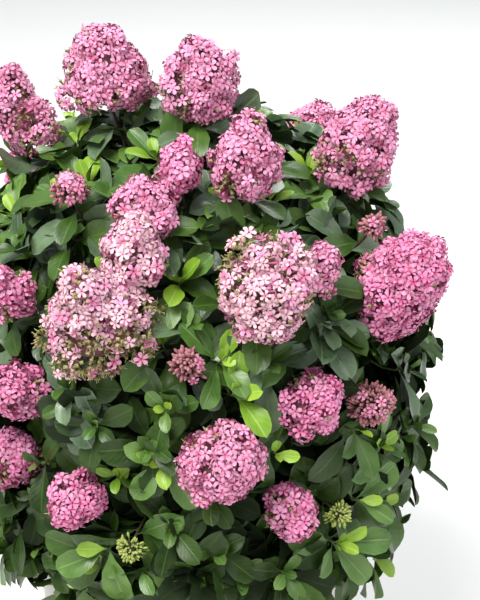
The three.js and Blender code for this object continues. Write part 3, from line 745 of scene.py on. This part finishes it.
def addRosette(curve, level):  # older leaves outside, the youngest in the middle
    # low in the crown the stem leaves and the outer rosette leaves take darker tones: painted shade
    low = curve[2][2] < lowLeaves["shadyTo"]
    grown, newer, newest = min(level, 3), min(level + 1, 4), min(level + 2, 4)
    addLeaves(curve, "stem", (0, level - 1) if low else (1, max(level - 1, 1)))
    addLeaves(curve, "rosette", (grown - 1, grown, grown) if low else (grown,))
    addLeaves(curve, "bright" if level == 4 else "young", (newer, newer, newest))


def planLeaves():
    for shoot in shoots:
        curve = shoot["curve"]
        if shoot["stage"] == "green":
            addLeaves(curve, "stem", (1, 2))
            addLeaves(curve, "ruff", (2, 3, 3))
        elif shoot["height"] > 0:
            addLeaves(curve, "collar", (1, 1, 2))
        elif shoot["stage"] == "skirt":
            addLeaves(curve, "skirt", (1, 2, 2))
        else:
            addRosette(curve, 2 if shoot["way"][2] > greenFrom else 1)
        # inner leaves are in the painted shade tone
        addLeaves(curve, "inner", (0,))
    for shoot in finerShoots:
        # the deeper layer's leaves are in the painted shade tone
        if shoot["layer"] == "deeper":
            addLeaves(shoot["curve"], "deeper", (0,))
        else:
            addRosette(shoot["curve"], shoot["level"])


def makeLeafMesh(jobs, stations, across):  # all the blades at once: leaf by leaf, station, point across
    data = np.array(jobs)
    root, along, sideways = (data[:, None, None, k:k + 3] for k in (0, 3, 6))
    length, width, fold, curl, own = (data[:, k, None, None] for k in range(9, 14))
    t = np.array(stations, float)[:, None]
    v = np.linspace(-1, 1, across)
    edge = np.abs(v)
    grown = np.clip((t - leaf["stalk"]) / (leaf["widest"] - leaf["stalk"]), 0, 1)
    past = np.clip((t - leaf["widest"]) / (1 - leaf["widest"]), 0, 1)
    drawnIn, bluntness = leaf["bluntness"]
    shape = np.sin(grown * math.pi / 2) ** leaf["rounding"] * (1 - past ** drawnIn) ** bluntness
    half = width / 2 * np.maximum(shape, leaf["narrowest"])
    toothedFrom, toothedTo = leaf["toothed"]
    inOut = np.where(np.arange(len(t)) % 2, 1, -1)[:, None]
    tooth = 1 + leaf["teeth"] * inOut * (t > toothedFrom) * (t < toothedTo)
    out = v * half * np.where(edge > leaf["edge"], tooth, 1)  # only the edge is toothed
    bend = curl + leaf["leastBend"]  # never quite flat, as it is divided by
    run = length * np.sin(bend * t) / bend
    drop = length * (1 - np.cos(bend * t)) / bend
    ripples, ownRipple, acrossRipple = leaf["ripples"]
    wave = leaf["wave"] * width * np.sin(ripples * t + ownRipple * own + acrossRipple * v)
    rise, ease = leaf["foldShape"]
    lift = edge * half * fold * rise - edge ** 2 * half * fold * ease \
        + wave * edge ** 2 * (t > leaf["ripplesFrom"]) - drop
    points = root + (run * np.ones_like(v))[..., None] * along + out[..., None] * sideways \
        + lift[..., None] * np.cross(along, sideways)
    points = points.reshape(len(data), -1, 3)
    grain = np.empty((len(data), len(t), across, 3))
    grain[..., 0], grain[..., 1], grain[..., 2] = v, t, own
    inBox = ((points > boxLow) & (points < boxHigh)).all(axis=(1, 2))
    points, grain = points[inBox], grain.reshape(len(data), -1, 3)[inBox]
    firsts = np.arange(len(points))[:, None, None] * points.shape[1]
    faces = (gridFaces(len(t), across)[None] + firsts).reshape(-1, 3)
    return points.reshape(-1, 3), faces, grain.reshape(-1, 3)


def makeLeaves():
    planLeaves()
    for tone, colours in leafColours.items():
        jobs = leafJobs[tone]
        print(tone, len(jobs), "leaves")
        material = leafMaterial(f"{tone}Leaf", *colours)
        grid = bladeGrids["plain" if tone == "shade" else "fine"]
        for part, first in enumerate(range(0, len(jobs), leaf["perPiece"])):
            heap = newHeap()
            addTo(heap, *makeLeafMesh(jobs[first:first + leaf["perPiece"]], *grid))
            makePiece(f"leaves_{tone}_{part + 1}", heap, material)


makeLeaves()


# Flower heads: small clusters of five-lobed florets, set close over a blunt cone

# lobe: reach, half width and lift of each row of points; tube: radius, height and share along
floret = {"radius": 5.6, "tilt": 0.5, "sizes": (0.8, 1.12), "trianglesPerPiece": 190000, "seed": 61,
          "lobes": 5, "lobe": ((0.12, 0.1, 0.0), (0.5, 0.23, 0.13), (0.82, 0.3, 0.11), (1.02, 0.14, 0.02)),
          "tubeSides": 4, "tube": ((0.15, 0.0, 0.12), (0.12, -1.2, 0.0))}
# strays: from this draw on, out of 1, a floret is rose whatever its head's tone
cluster = {"spacing": 14.4, "closer": 0.9, "fewest": 9, "reach": 10, "florets": (9, 12), "widest": 88,
           "sizes": (0.8, 1.15), "smallTo": 26, "slipLean": 0.3, "lean": 0.35, "depths": (0.85, 1.08),
           "clear": 0.72, "strays": 0.8}
loose = {"open": {"sunk": 0.65, "slip": 9, "spent": 0.02, "bud": 0.12, "goneBelow": 1.0, "goneFrom": 0.05},
         "fading": {"sunk": 1.2, "slip": 12, "spent": 0.16, "bud": 0.03, "goneBelow": 1.7, "goneFrom": 0.5}}
strayBuds = {"spentBelow": 5, "spentSize": 0.95, "budBelow": 6, "budSizes": (0.6, 0.95)}
spentPatch = {"above": 0.36, "open": 0.5, "fading": 0.8}  # where whole clusters have gone over
dome = {"lowest": -0.82, "belly": (0.3, 0.5), "bellyEase": 0.35, "lumps": 0.1, "fadingSize": 0.96,
        "wayUp": 0.25, "lumpWaves": (2.6, 2.3, 3.4, 1.5, 3.1, 2),  # radians over the half of a head
        "patchWaves": (0.8, 2.9, 2.6), "patchBands": (0.3, 5)}  # how strong, and radians over the half
budHead = {"spacing": {"bud": 4.0, "green": 3.7}, "sunk": (7, 12), "lean": 0.9, "sizes": (0.65, 1.1),
           "open": {"rose": 0.2, "deep": 0.04}, "openProud": 8, "openSize": 0.8}
petalColours = {  # tip, middle, throat
    "pale": ((0.69, 0.46, 0.52), (0.65, 0.37, 0.44), (0.46, 0.19, 0.23)),
    "rose": ((0.65, 0.31, 0.46), (0.62, 0.22, 0.36), (0.45, 0.10, 0.19)),
    "deep": ((0.66, 0.26, 0.43), (0.59, 0.16, 0.31), (0.40, 0.06, 0.15)),
}
budColours = {  # tip, middle, foot
    "bud": ((0.64, 0.18, 0.34), (0.42, 0.06, 0.15), (0.12, 0.10, 0.03)),
    "tight": ((0.43, 0.20, 0.215), (0.24, 0.075, 0.095), (0.06, 0.04, 0.02)),
    "green": ((0.40, 0.45, 0.14), (0.22, 0.29, 0.06), (0.05, 0.08, 0.02)),
    "spent": ((0.44, 0.36, 0.20), (0.24, 0.21, 0.08), (0.10, 0.11, 0.03)),
}
budRings = {  # radius and height, from the foot to the tip
    "bud": ((0.5, 0), (1.5, 6.5), (1.8, 8.4), (0.3, 10)),
    "tight": ((0.4, 0), (1.0, 4.5), (1.7, 7.2), (1.3, 9.2), (0.2, 10.4)),
    "green": ((0.4, 0), (0.7, 4), (1.25, 6.4), (0.9, 8), (0.2, 9)),
    "spent": ((0.4, 0), (1.4, 4), (2.1, 5.4), (0.5, 4.6), (0.3, 9)),
}
petalFinish = {"own": 0.45, "throatTo": (0.12, 0.42), "tipFrom": (0.38, 0.95), "line": (0.22, 0.35),
               "speckNoise": (420, 2), "specks": (0.45, 0.75), "speckShare": 0.22, "rough": (0.5, 0.66),
               "relief": 0.25, "depth": 0.0003, "shine": 0.16}
# the hearts' colours are dark with painted shade from inside the heads; the bud heads' is nearly black
heartLook = {"head": {"deep": (0.20, 0.08, 0.085), "light": (0.42, 0.16, 0.20), "size": 0.66},
             "bud": {"deep": (0.02, 0.022, 0.008), "light": (0.06, 0.05, 0.022), "size": 0.5}}
heartFinish = {"scale": 260, "rough": 0.8, "relief": 0.8, "depth": 0.002}
floretJobs = {tone: [] for tone in petalColours}
budJobs = {kind: [] for kind in budColours}
hearts = {kind: newHeap() for kind in heartLook}
heartBall, heartFaces = ballShape(9, 14)
flowerRandom = np.random.default_rng(floret["seed"])


def petalMaterial(name, tip, middle, throat):
    look = petalFinish
    material, tree, shader = newMaterial(name)
    across, along, own = grainOf(tree)
    fade = maths(tree, "ADD", along, times(tree, maths(tree, "SUBTRACT", own, 0.5), look["own"]))
    base = blendColours(tree, ramp(tree, fade, *look["throatTo"]), throat, middle)
    base = blendColours(tree, ramp(tree, fade, *look["tipFrom"]), base, tip)
    lineWidth, lineShare = look["line"]
    line = ramp(tree, maths(tree, "ABSOLUTE", across), lineWidth, 0.0, (0.0, lineShare))
    base = blendColours(tree, line, base, middle)
    speck = noise(tree, *look["speckNoise"])
    base = blendColours(tree, ramp(tree, speck, *look["specks"], (0.0, look["speckShare"])), base, middle)
    setSurface(tree, shader, base, speck, look["rough"], look["shine"])
    addBump(tree, shader, speck, look["relief"], look["depth"])
    return material


def floretShape():  # one floret, with its mouth at the origin and its radius 1
    points, faces, grain = [], [], []
    widest = max(half for _, half, _ in floret["lobe"])
    for k in range(floret["lobes"]):
        turn = 2 * math.pi * k / floret["lobes"]
        out, side = np.array([math.cos(turn), math.sin(turn)]), np.array([-math.sin(turn), math.cos(turn)])
        first = len(points)
        for reach, half, lift in floret["lobe"]:
            for sign in (-1, 1):
                points.append((*(out * reach + side * sign * half), lift))
                grain.append((sign * half / widest, reach, 0))
        for row in range(len(floret["lobe"]) - 1):
            a = first + 2 * row
            faces += [[a, a + 2, a + 3], [a, a + 3, a + 1]]
    first, sides = len(points), floret["tubeSides"]
    for radius, height, along in floret["tube"]:  # the tube below the lobes
        for k in range(sides):
            turn = 2 * math.pi * (k + 0.5) / sides
            points.append((math.cos(turn) * radius, math.sin(turn) * radius, height))
            grain.append((0.5, along, 0))
    for k in range(sides):
        a, b = first + k, first + (k + 1) % sides
        faces += [[a, a + sides, b + sides], [a, b + sides, b]]
    return np.array(points), np.array(faces), np.array(grain, float)


def budShape(rings, sides=4):  # a small spindle
    points, grain = [], []
    for radius, height in rings:
        for k in range(sides):
            turn = 2 * math.pi * k / sides
            points.append((math.cos(turn) * radius, math.sin(turn) * radius, height))
            grain.append((1, height / rings[-1][1], 0))
    return np.array(points), gridFaces(len(rings), sides, wraps=True), np.array(grain, float)


def placeMany(heap, shape, jobs):  # jobs: place, axis, turn, size, own number
    if not jobs:
        return
    points, faces, grain = shape
    data = np.array(jobs)
    place, axis = data[:, 0:3], data[:, 3:6]
    turn, size, own = data[:, 6, None], data[:, 7], data[:, 8]
    helper = np.where(np.abs(axis[:, 2:3]) < nearUpright, up, vec(1, 0, 0))
    side = np.cross(axis, helper)
    side /= np.linalg.norm(side, axis=1)[:, None]
    over = np.cross(axis, side)
    x = side * np.cos(turn) + over * np.sin(turn)
    y = np.cross(axis, x)
    local = points[None] * size[:, None, None]
    world = place[:, None]
    for k, way in enumerate((x, y, axis)):
        world = world + local[..., k:k + 1] * way[:, None]
    # those that come out too far are set back, and any that still do are left out
    world += np.clip(boxLow - world.min(axis=1), 0, leanIn)[:, None]
    world -= np.clip(world.max(axis=1) - boxHigh, 0, leanIn)[:, None]
    inBox = ((world >= boxLow - boxSlack) & (world <= boxHigh + boxSlack)).all(axis=(1, 2))
    world = world[inBox]
    ownGrain = np.repeat(grain[None], len(world), 0)
    ownGrain[..., 2] = own[inBox][:, None]
    allFaces = (faces[None] + np.arange(len(world))[:, None, None] * len(points)).reshape(-1, 3)
    addTo(heap, world.reshape(-1, 3), allFaces, ownGrain.reshape(-1, 3))


def spiral(count, lowest):  # even directions from the tip down to a height, as x, y, z
    made = []
    for i in range(count):
        z = mix(1, lowest, (i + 0.5) / count)
        r, turn = math.sqrt(1 - z * z), math.radians(goldenTurn * i)
        made.append((r * math.cos(turn), r * math.sin(turn), z))
    return made


def formHead(shoot):  # a head's lumpy cone: a place on it and the way out there, and where it has gone over
    axis, halfWidth, halfHeight = shoot["axis"], shoot["width"] / 2, shoot["height"] / 2
    side = sideOf(axis, leafZero)
    over = np.cross(axis, side)
    belly = mix(*dome["belly"], flowerRandom.random()) if shoot["belly"] is None else shoot["belly"]
    lumpTurns, patchTurns = flowerRandom.random(4) * wholeTurn, flowerRandom.random(3) * wholeTurn
    mean = (2 * halfWidth + halfHeight) / 3
    shrunk = dome["fadingSize"] if shoot["stage"] == "fading" else 1

    def surface(x, y, z, inset=0.0, scale=1.0):
        a, b, c, d, e, f = dome["lumpWaves"]
        lump = math.sin(a * x + lumpTurns[0]) * math.sin(b * y + lumpTurns[1]) \
            + math.sin(c * z + lumpTurns[2] + d * x) * math.sin(e * x - f * y + lumpTurns[3])
        swell = (1 - belly * z) / (1 + dome["bellyEase"] * abs(belly)) * (1 + dome["lumps"] * lump)
        place = (side * x + over * y) * halfWidth * swell + axis * z * halfHeight
        out = unit(side * x / halfWidth + over * y / halfWidth
                   + axis * (z + dome["wayUp"] * (1 - z * z)) / halfHeight)
        return shoot["centre"] + place * scale * shrunk - out * inset, out

    def patch(x, y, z):
        (wave, a, b), (band, c) = dome["patchWaves"], dome["patchBands"]
        return wave * math.sin(a * x + patchTurns[0]) + wave * math.sin(b * y + patchTurns[1]) \
            + band * math.sin(c * z + patchTurns[2])

    return {"side": side, "over": over, "mean": mean, "surface": surface, "patch": patch,
            "area": 4 * math.pi * mean * mean * (1 - dome["lowest"]) / 2}


def addHeart(kind, form):  # a dull core that closes the gaps between the flowers, darkened as painted shade
    core = np.array([form["surface"](*p, scale=heartLook[kind]["size"])[0] for p in heartBall])
    addTo(hearts[kind], core, heartFaces, np.zeros((len(core), 3)))


def growBuds(shoot, form):
    kind = "tight" if shoot["stage"] == "bud" else "green"
    count = int(form["area"] / budHead["spacing"][shoot["stage"]] ** 2)
    for x, y, z in spiral(count, dome["lowest"]):
        draw = flowerRandom.random(6)
        place, out = form["surface"](x, y, z, inset=mix(*budHead["sunk"], draw[0]))
        axis = unit(out + (draw[1:4] - 0.5) * budHead["lean"])
        turn = draw[4] * wholeTurn
        if kind == "tight" and draw[2] < budHead["open"][shoot["tone"]]:
            floretJobs["rose"].append((*(place + axis * budHead["openProud"]), *axis, turn,
                                       floret["radius"] * budHead["openSize"], draw[0]))
        else:
            budJobs[kind].append((*place, *axis, turn, mix(*budHead["sizes"], draw[5]), draw[0]))
    addHeart("bud", form)


def placeClusters(shoot, form):  # place, way out, reach, and how far each has gone over
    kind, made = loose[shoot["stage"]], []
    count = int(form["area"] / (cluster["spacing"] ** 2 * cluster["closer"]))
    for x, y, z in spiral(max(cluster["fewest"], count), dome["lowest"]):
        draw = flowerRandom.random(6)
        reach = cluster["reach"] * mix(*cluster["sizes"], draw[0]) * min(1, form["mean"] / cluster["smallTo"])
        place, out = form["surface"](x, y, z, inset=reach * (1 + kind["sunk"] * draw[1] ** 2))
        slip = (form["side"] * (draw[2] - 0.5) + form["over"] * (draw[3] - 0.5)
                + shoot["axis"] * (draw[4] - 0.5))
        gone = form["patch"](x, y, z) - kind["goneBelow"] * (z - kind["goneFrom"])
        made.append((place + slip * kind["slip"], unit(out + slip * cluster["slipLean"]), reach, gone / 2))
    return made


def growFlorets(shoot, form):
    kind, clusters = loose[shoot["stage"]], placeClusters(shoot, form)
    middles, reaches = np.array([c[0] for c in clusters]), np.array([c[2] for c in clusters])
    lowest = math.cos(math.radians(cluster["widest"]))
    for place, out, reach, gone in clusters:
        zero = sideOf(out, leafZero)
        cross = np.cross(out, zero)
        spent = spentPatch[shoot["stage"]] if gone > spentPatch["above"] else kind["spent"]
        turned = flowerRandom.random() * wholeTurn
        cosine, sine = math.cos(turned), math.sin(turned)
        for x, y, z in spiral(flowerRandom.integers(*cluster["florets"], endpoint=True), lowest):
            draw = flowerRandom.random(8)
            x, y = x * cosine - y * sine, x * sine + y * cosine
            way = unit(zero * x + cross * y + out * z + (draw[0:3] - 0.5) * cluster["lean"])
            at = place + way * reach * mix(*cluster["depths"], draw[3])
            if (np.linalg.norm(middles - at, axis=1) < reaches * cluster["clear"]).any():
                continue
            axis = unit(way + (flowerRandom.random(3) - 0.5) * 2 * floret["tilt"])
            turn = draw[4] * wholeTurn
            if draw[5] < spent:
                foot = at - axis * strayBuds["spentBelow"]
                budJobs["spent"].append((*foot, *axis, turn, strayBuds["spentSize"], draw[6]))
            elif draw[5] < spent + kind["bud"]:
                foot = at - axis * strayBuds["budBelow"]
                budJobs["bud"].append((*foot, *axis, turn, mix(*strayBuds["budSizes"], draw[7]), draw[6]))
            else:
                tone = "rose" if draw[7] > cluster["strays"] else shoot["tone"]
                size = floret["radius"] * mix(*floret["sizes"], draw[7])
                floretJobs[tone].append((*at, *axis, turn, size, draw[6]))
    addHeart("head", form)


def makeFlowers():
    for shoot in heads:
        grow = growFlorets if shoot["stage"] in loose else growBuds
        grow(shoot, formHead(shoot))
    shape = floretShape()
    for tone, colours in petalColours.items():
        jobs = floretJobs[tone]
        print(tone, len(jobs), "florets")
        parts = math.ceil(len(jobs) * len(shape[1]) / floret["trianglesPerPiece"])
        size = math.ceil(len(jobs) / parts)
        material = petalMaterial(f"{tone}Petal", *colours)
        for part in range(parts):
            heap = newHeap()
            placeMany(heap, shape, jobs[part * size:(part + 1) * size])
            makePiece(f"florets_{tone}_{part + 1}", heap, material)
    for kind, jobs in budJobs.items():
        heap = newHeap()
        placeMany(heap, budShape(budRings[kind]), jobs)
        material = petalMaterial(f"{kind}Flower", *budColours[kind])
        makePiece(f"{kind}_flowers", heap, material)
    for kind, heap in hearts.items():
        material = mottledMaterial(f"{kind}Heart", {**heartLook[kind], **heartFinish})
        makePiece(f"{kind}_hearts", heap, material)


makeFlowers()


# The pot: a plain round one, softly bellied, in a satin off-white glaze

pot = {"height": 240, "rimRadius": 140, "bellyRadius": 145, "bellyHeight": 165, "shoulder": 0.74,
       "shoulderHeight": 0.45, "footRadius": 104, "footEdge": 5, "footRound": 1.5, "rimDepth": 20,
       "rimProud": 3, "rimUnder": (0.8, 1.2), "rimRound": 0.9, "wall": 9, "liningFrom": 150, "facets": 96,
       "curveSteps": 10,
       "glaze": {"deep": (0.60, 0.57, 0.52), "light": (0.72, 0.69, 0.64), "scale": 45, "rough": 0.42,
                 "relief": 0.12, "depth": 0.0006}}


def throughPoints(points, steps):  # a smooth line through points
    points = np.array(points, float)
    padded = np.vstack([2 * points[0] - points[1], points, 2 * points[-1] - points[-2]])
    made = []
    for i in range(len(points) - 1):
        a, b, c, d = padded[i:i + 4]
        for t in np.linspace(0, 1, steps, endpoint=False):
            made.append(0.5 * (2 * b + (c - a) * t + (2 * a - 5 * b + 4 * c - d) * t * t
                               + (3 * b - a - 3 * c + d) * t ** 3))
    return [*made, points[-1]]


def potProfile():  # radius and height, from the middle of the foot up the outside and down the inside
    top, foot = pot["height"], pot["height"] - pot["rimDepth"]
    shoulder = mix(pot["footRadius"], pot["bellyRadius"], pot["shoulder"])
    outer = throughPoints([(pot["footRadius"], pot["footEdge"]),
                           (shoulder, pot["bellyHeight"] * pot["shoulderHeight"]),
                           (pot["bellyRadius"], pot["bellyHeight"]),
                           (pot["rimRadius"] - pot["rimProud"], foot)], pot["curveSteps"])
    edge, rounded = pot["footRound"], pot["rimRound"]
    out, proud = pot["rimRadius"], pot["rimProud"]
    inner, (underIn, underUp) = out - pot["wall"], pot["rimUnder"]
    lining = [(radius - pot["wall"], height) for radius, height in reversed(outer)
              if height > pot["liningFrom"]]
    return [(0, 0), (pot["footRadius"] - pot["footEdge"], 0), (pot["footRadius"] - edge, edge), *outer,
            (out - underIn, foot + underUp), (out, foot + proud), (out, top - proud),
            (out - rounded, top - rounded), (out - proud, top), (inner, top),
            (inner - 2 * rounded, top - rounded), (inner - proud, top - proud), *lining]


def makePot():
    profile, facets = potProfile(), pot["facets"]
    angles = roundAngles(facets)
    points = np.concatenate([np.stack([x * np.cos(angles), x * np.sin(angles), np.full(facets, y)], 1)
                             for x, y in profile])
    faces = gridFaces(len(profile), facets, wraps=True)[facets:]  # the first ones would have no area
    heap = newHeap()
    addTo(heap, points, faces, np.zeros((len(points), 3)))
    makePiece("pot_glazed", heap, mottledMaterial("offWhiteGlaze", pot["glaze"]), ["pot"])


makePot()


# Compost: a loose, uneven surface with crumbs on it

soil = {"top": 218, "lower": 2, "radius": 127, "middle": 0.5, "rings": 40, "columns": 90, "unevenness": 2.2,
        "waves": 14, "waviness": 0.09, "calm": 5, "grit": 0.35, "edgeDrop": 5, "crumbs": 420,
        "crumbSizes": (1.2, 4.2), "crumbSides": (0.7, 0.6),  # at least, and up to how much more
        "crumbsWithin": 0.97, "crumbsProud": 0.3, "seed": 5,
        "crumbLumps": (0.22, 3, 6),  # how deep, and how far they turn and shift, in radians
        "look": {"deep": (0.012, 0.008, 0.005), "light": (0.06, 0.04, 0.026), "scale": 260, "rough": 0.9,
                 "relief": 0.9, "depth": 0.0015}}


def makeCompost():
    random = np.random.default_rng(soil["seed"])
    heap = newHeap()
    waves = random.normal(size=(soil["waves"], 2)) * soil["waviness"]
    phases = random.random(soil["waves"]) * wholeTurn

    def height(x, y):
        total = sum(np.sin(x * a + y * b + phase) for (a, b), phase in zip(waves, phases))
        return soil["top"] - soil["lower"] + soil["unevenness"] * total / soil["calm"]

    radii = np.linspace(soil["middle"], soil["radius"], soil["rings"])
    angles = roundAngles(soil["columns"])
    x, y = radii[:, None] * np.cos(angles), radii[:, None] * np.sin(angles)
    z = height(x, y) + random.normal(size=x.shape) * soil["grit"]
    z[-1] -= soil["edgeDrop"]
    points = np.stack([x, y, z], -1).reshape(-1, 3)
    addTo(heap, points, gridFaces(soil["rings"], soil["columns"], wraps=True), np.zeros((len(points), 3)))
    ball, faces = ballShape(5, 7)
    least, more = soil["crumbSides"]
    lump, lumpTurn, lumpPhase = soil["crumbLumps"]
    for _ in range(soil["crumbs"]):
        r = soil["radius"] * soil["crumbsWithin"] * math.sqrt(random.random())
        turn, size = random.random() * wholeTurn, random.random()
        scale = mix(*soil["crumbSizes"], size ** 2) * (least + more * random.random(3))
        turned = ball @ (random.normal(size=(3, 1)) * lumpTurn)
        lumps = 1 + lump * np.sin(turned + random.random() * lumpPhase)
        place = vec(r * math.cos(turn), r * math.sin(turn), 0)
        place[2] = height(place[0], place[1]) + scale[2] * soil["crumbsProud"]
        grain = np.zeros((len(ball), 3))
        grain[:, 2] = random.random()
        addTo(heap, place + ball * scale * lumps, faces, grain)
    makePiece("compost_loose", heap, mottledMaterial("dampCompost", soil["look"]), ["compost"])


makeCompost()


# Floor, light and camera

studio = {"floor": (0.78, 0.77, 0.75), "floorShade": (0.7, 0.69, 0.67), "floorSize": 30, "floorRough": 0.8,
          "floorClouds": (3, 3), "floorCloudShare": 0.12, "zenithFrom": 0.9,
          "horizon": (0.42, 0.44, 0.47), "zenith": (0.9, 0.96, 1.0), "skyStrength": 0.9}
lamps = {  # place and aim in metres, size, power, colour
    "keyLight": ((-0.8, -1.3, 2.7), (0, 0, 0.45), 1.6, 120, (1, 0.98, 0.95)),
    "fillLight": ((2.0, -1.2, 1.4), (0, 0, 0.45), 1.8, 16, (0.95, 0.97, 1)),
    "rimLight": ((0.6, 2.0, 2.2), (0, 0, 0.5), 1.5, 40, (1, 1, 1)),
}


def makeFloor():
    half = studio["floorSize"] / 2
    mesh = bpy.data.meshes.new("floor")
    corners = [(-half, -half, 0), (half, -half, 0), (half, half, 0), (-half, half, 0)]
    mesh.from_pydata(corners, [], [(0, 1, 2, 3)])
    floor = newObject("floor", mesh)
    material, tree, shader = newMaterial("paleFloor")
    cloud = ramp(tree, noise(tree, *studio["floorClouds"]), *cloudEnds, (0.0, studio["floorCloudShare"]))
    link(tree, blendColours(tree, cloud, studio["floor"], studio["floorShade"]), shader.inputs["Base Color"])
    shader.inputs["Roughness"].default_value = studio["floorRough"]
    mesh.materials.append(material)


def makeLamp(name, place, aim, size, power, colour):
    data = bpy.data.lights.new(name, "AREA")
    data.shape = "DISK"
    data.size = size
    data.energy = power
    data.color = colour
    light = newObject(name, data)
    light.location = place
    way = unit(np.array(aim) - np.array(place))
    light.rotation_mode = "QUATERNION"
    light.rotation_quaternion = Vector(way).to_track_quat("-Z", "Y")


def makeStudio():
    world = bpy.data.worlds.new("softSky")
    bpy.context.scene.world = world
    world.use_nodes = True
    tree = world.node_tree
    back = tree.nodes["Background"]
    parts = tree.nodes.new("ShaderNodeSeparateXYZ")
    link(tree, tree.nodes.new("ShaderNodeTexCoord").outputs["Generated"], parts.inputs[0])
    height = ramp(tree, parts.outputs[2], 0.0, studio["zenithFrom"])
    link(tree, blendColours(tree, height, studio["horizon"], studio["zenith"]), back.inputs["Color"])
    back.inputs["Strength"].default_value = studio["skyStrength"]
    for name, settings in lamps.items():
        makeLamp(name, *settings)
    bpy.context.scene.view_settings.view_transform = "Standard"


view = {"elevation": 24, "lens": 100, "sensor": 36, "distance": 1.5, "target": (0.045, 0, 0.452),
        "clip": (0.05, 60)}


def makeCamera():
    data = bpy.data.cameras.new("camera")
    data.lens = view["lens"]
    data.sensor_width = view["sensor"]
    data.clip_start, data.clip_end = view["clip"]
    camera = newObject("camera", data)
    rise = math.radians(view["elevation"])
    back = np.array([0, -math.cos(rise), math.sin(rise)])
    camera.location = np.array(view["target"]) + back * view["distance"]
    camera.rotation_euler = (math.radians(90 - view["elevation"]), 0, 0)
    bpy.context.scene.camera = camera


makeFloor()
makeStudio()
makeCamera()
print("floor, light and camera ready")
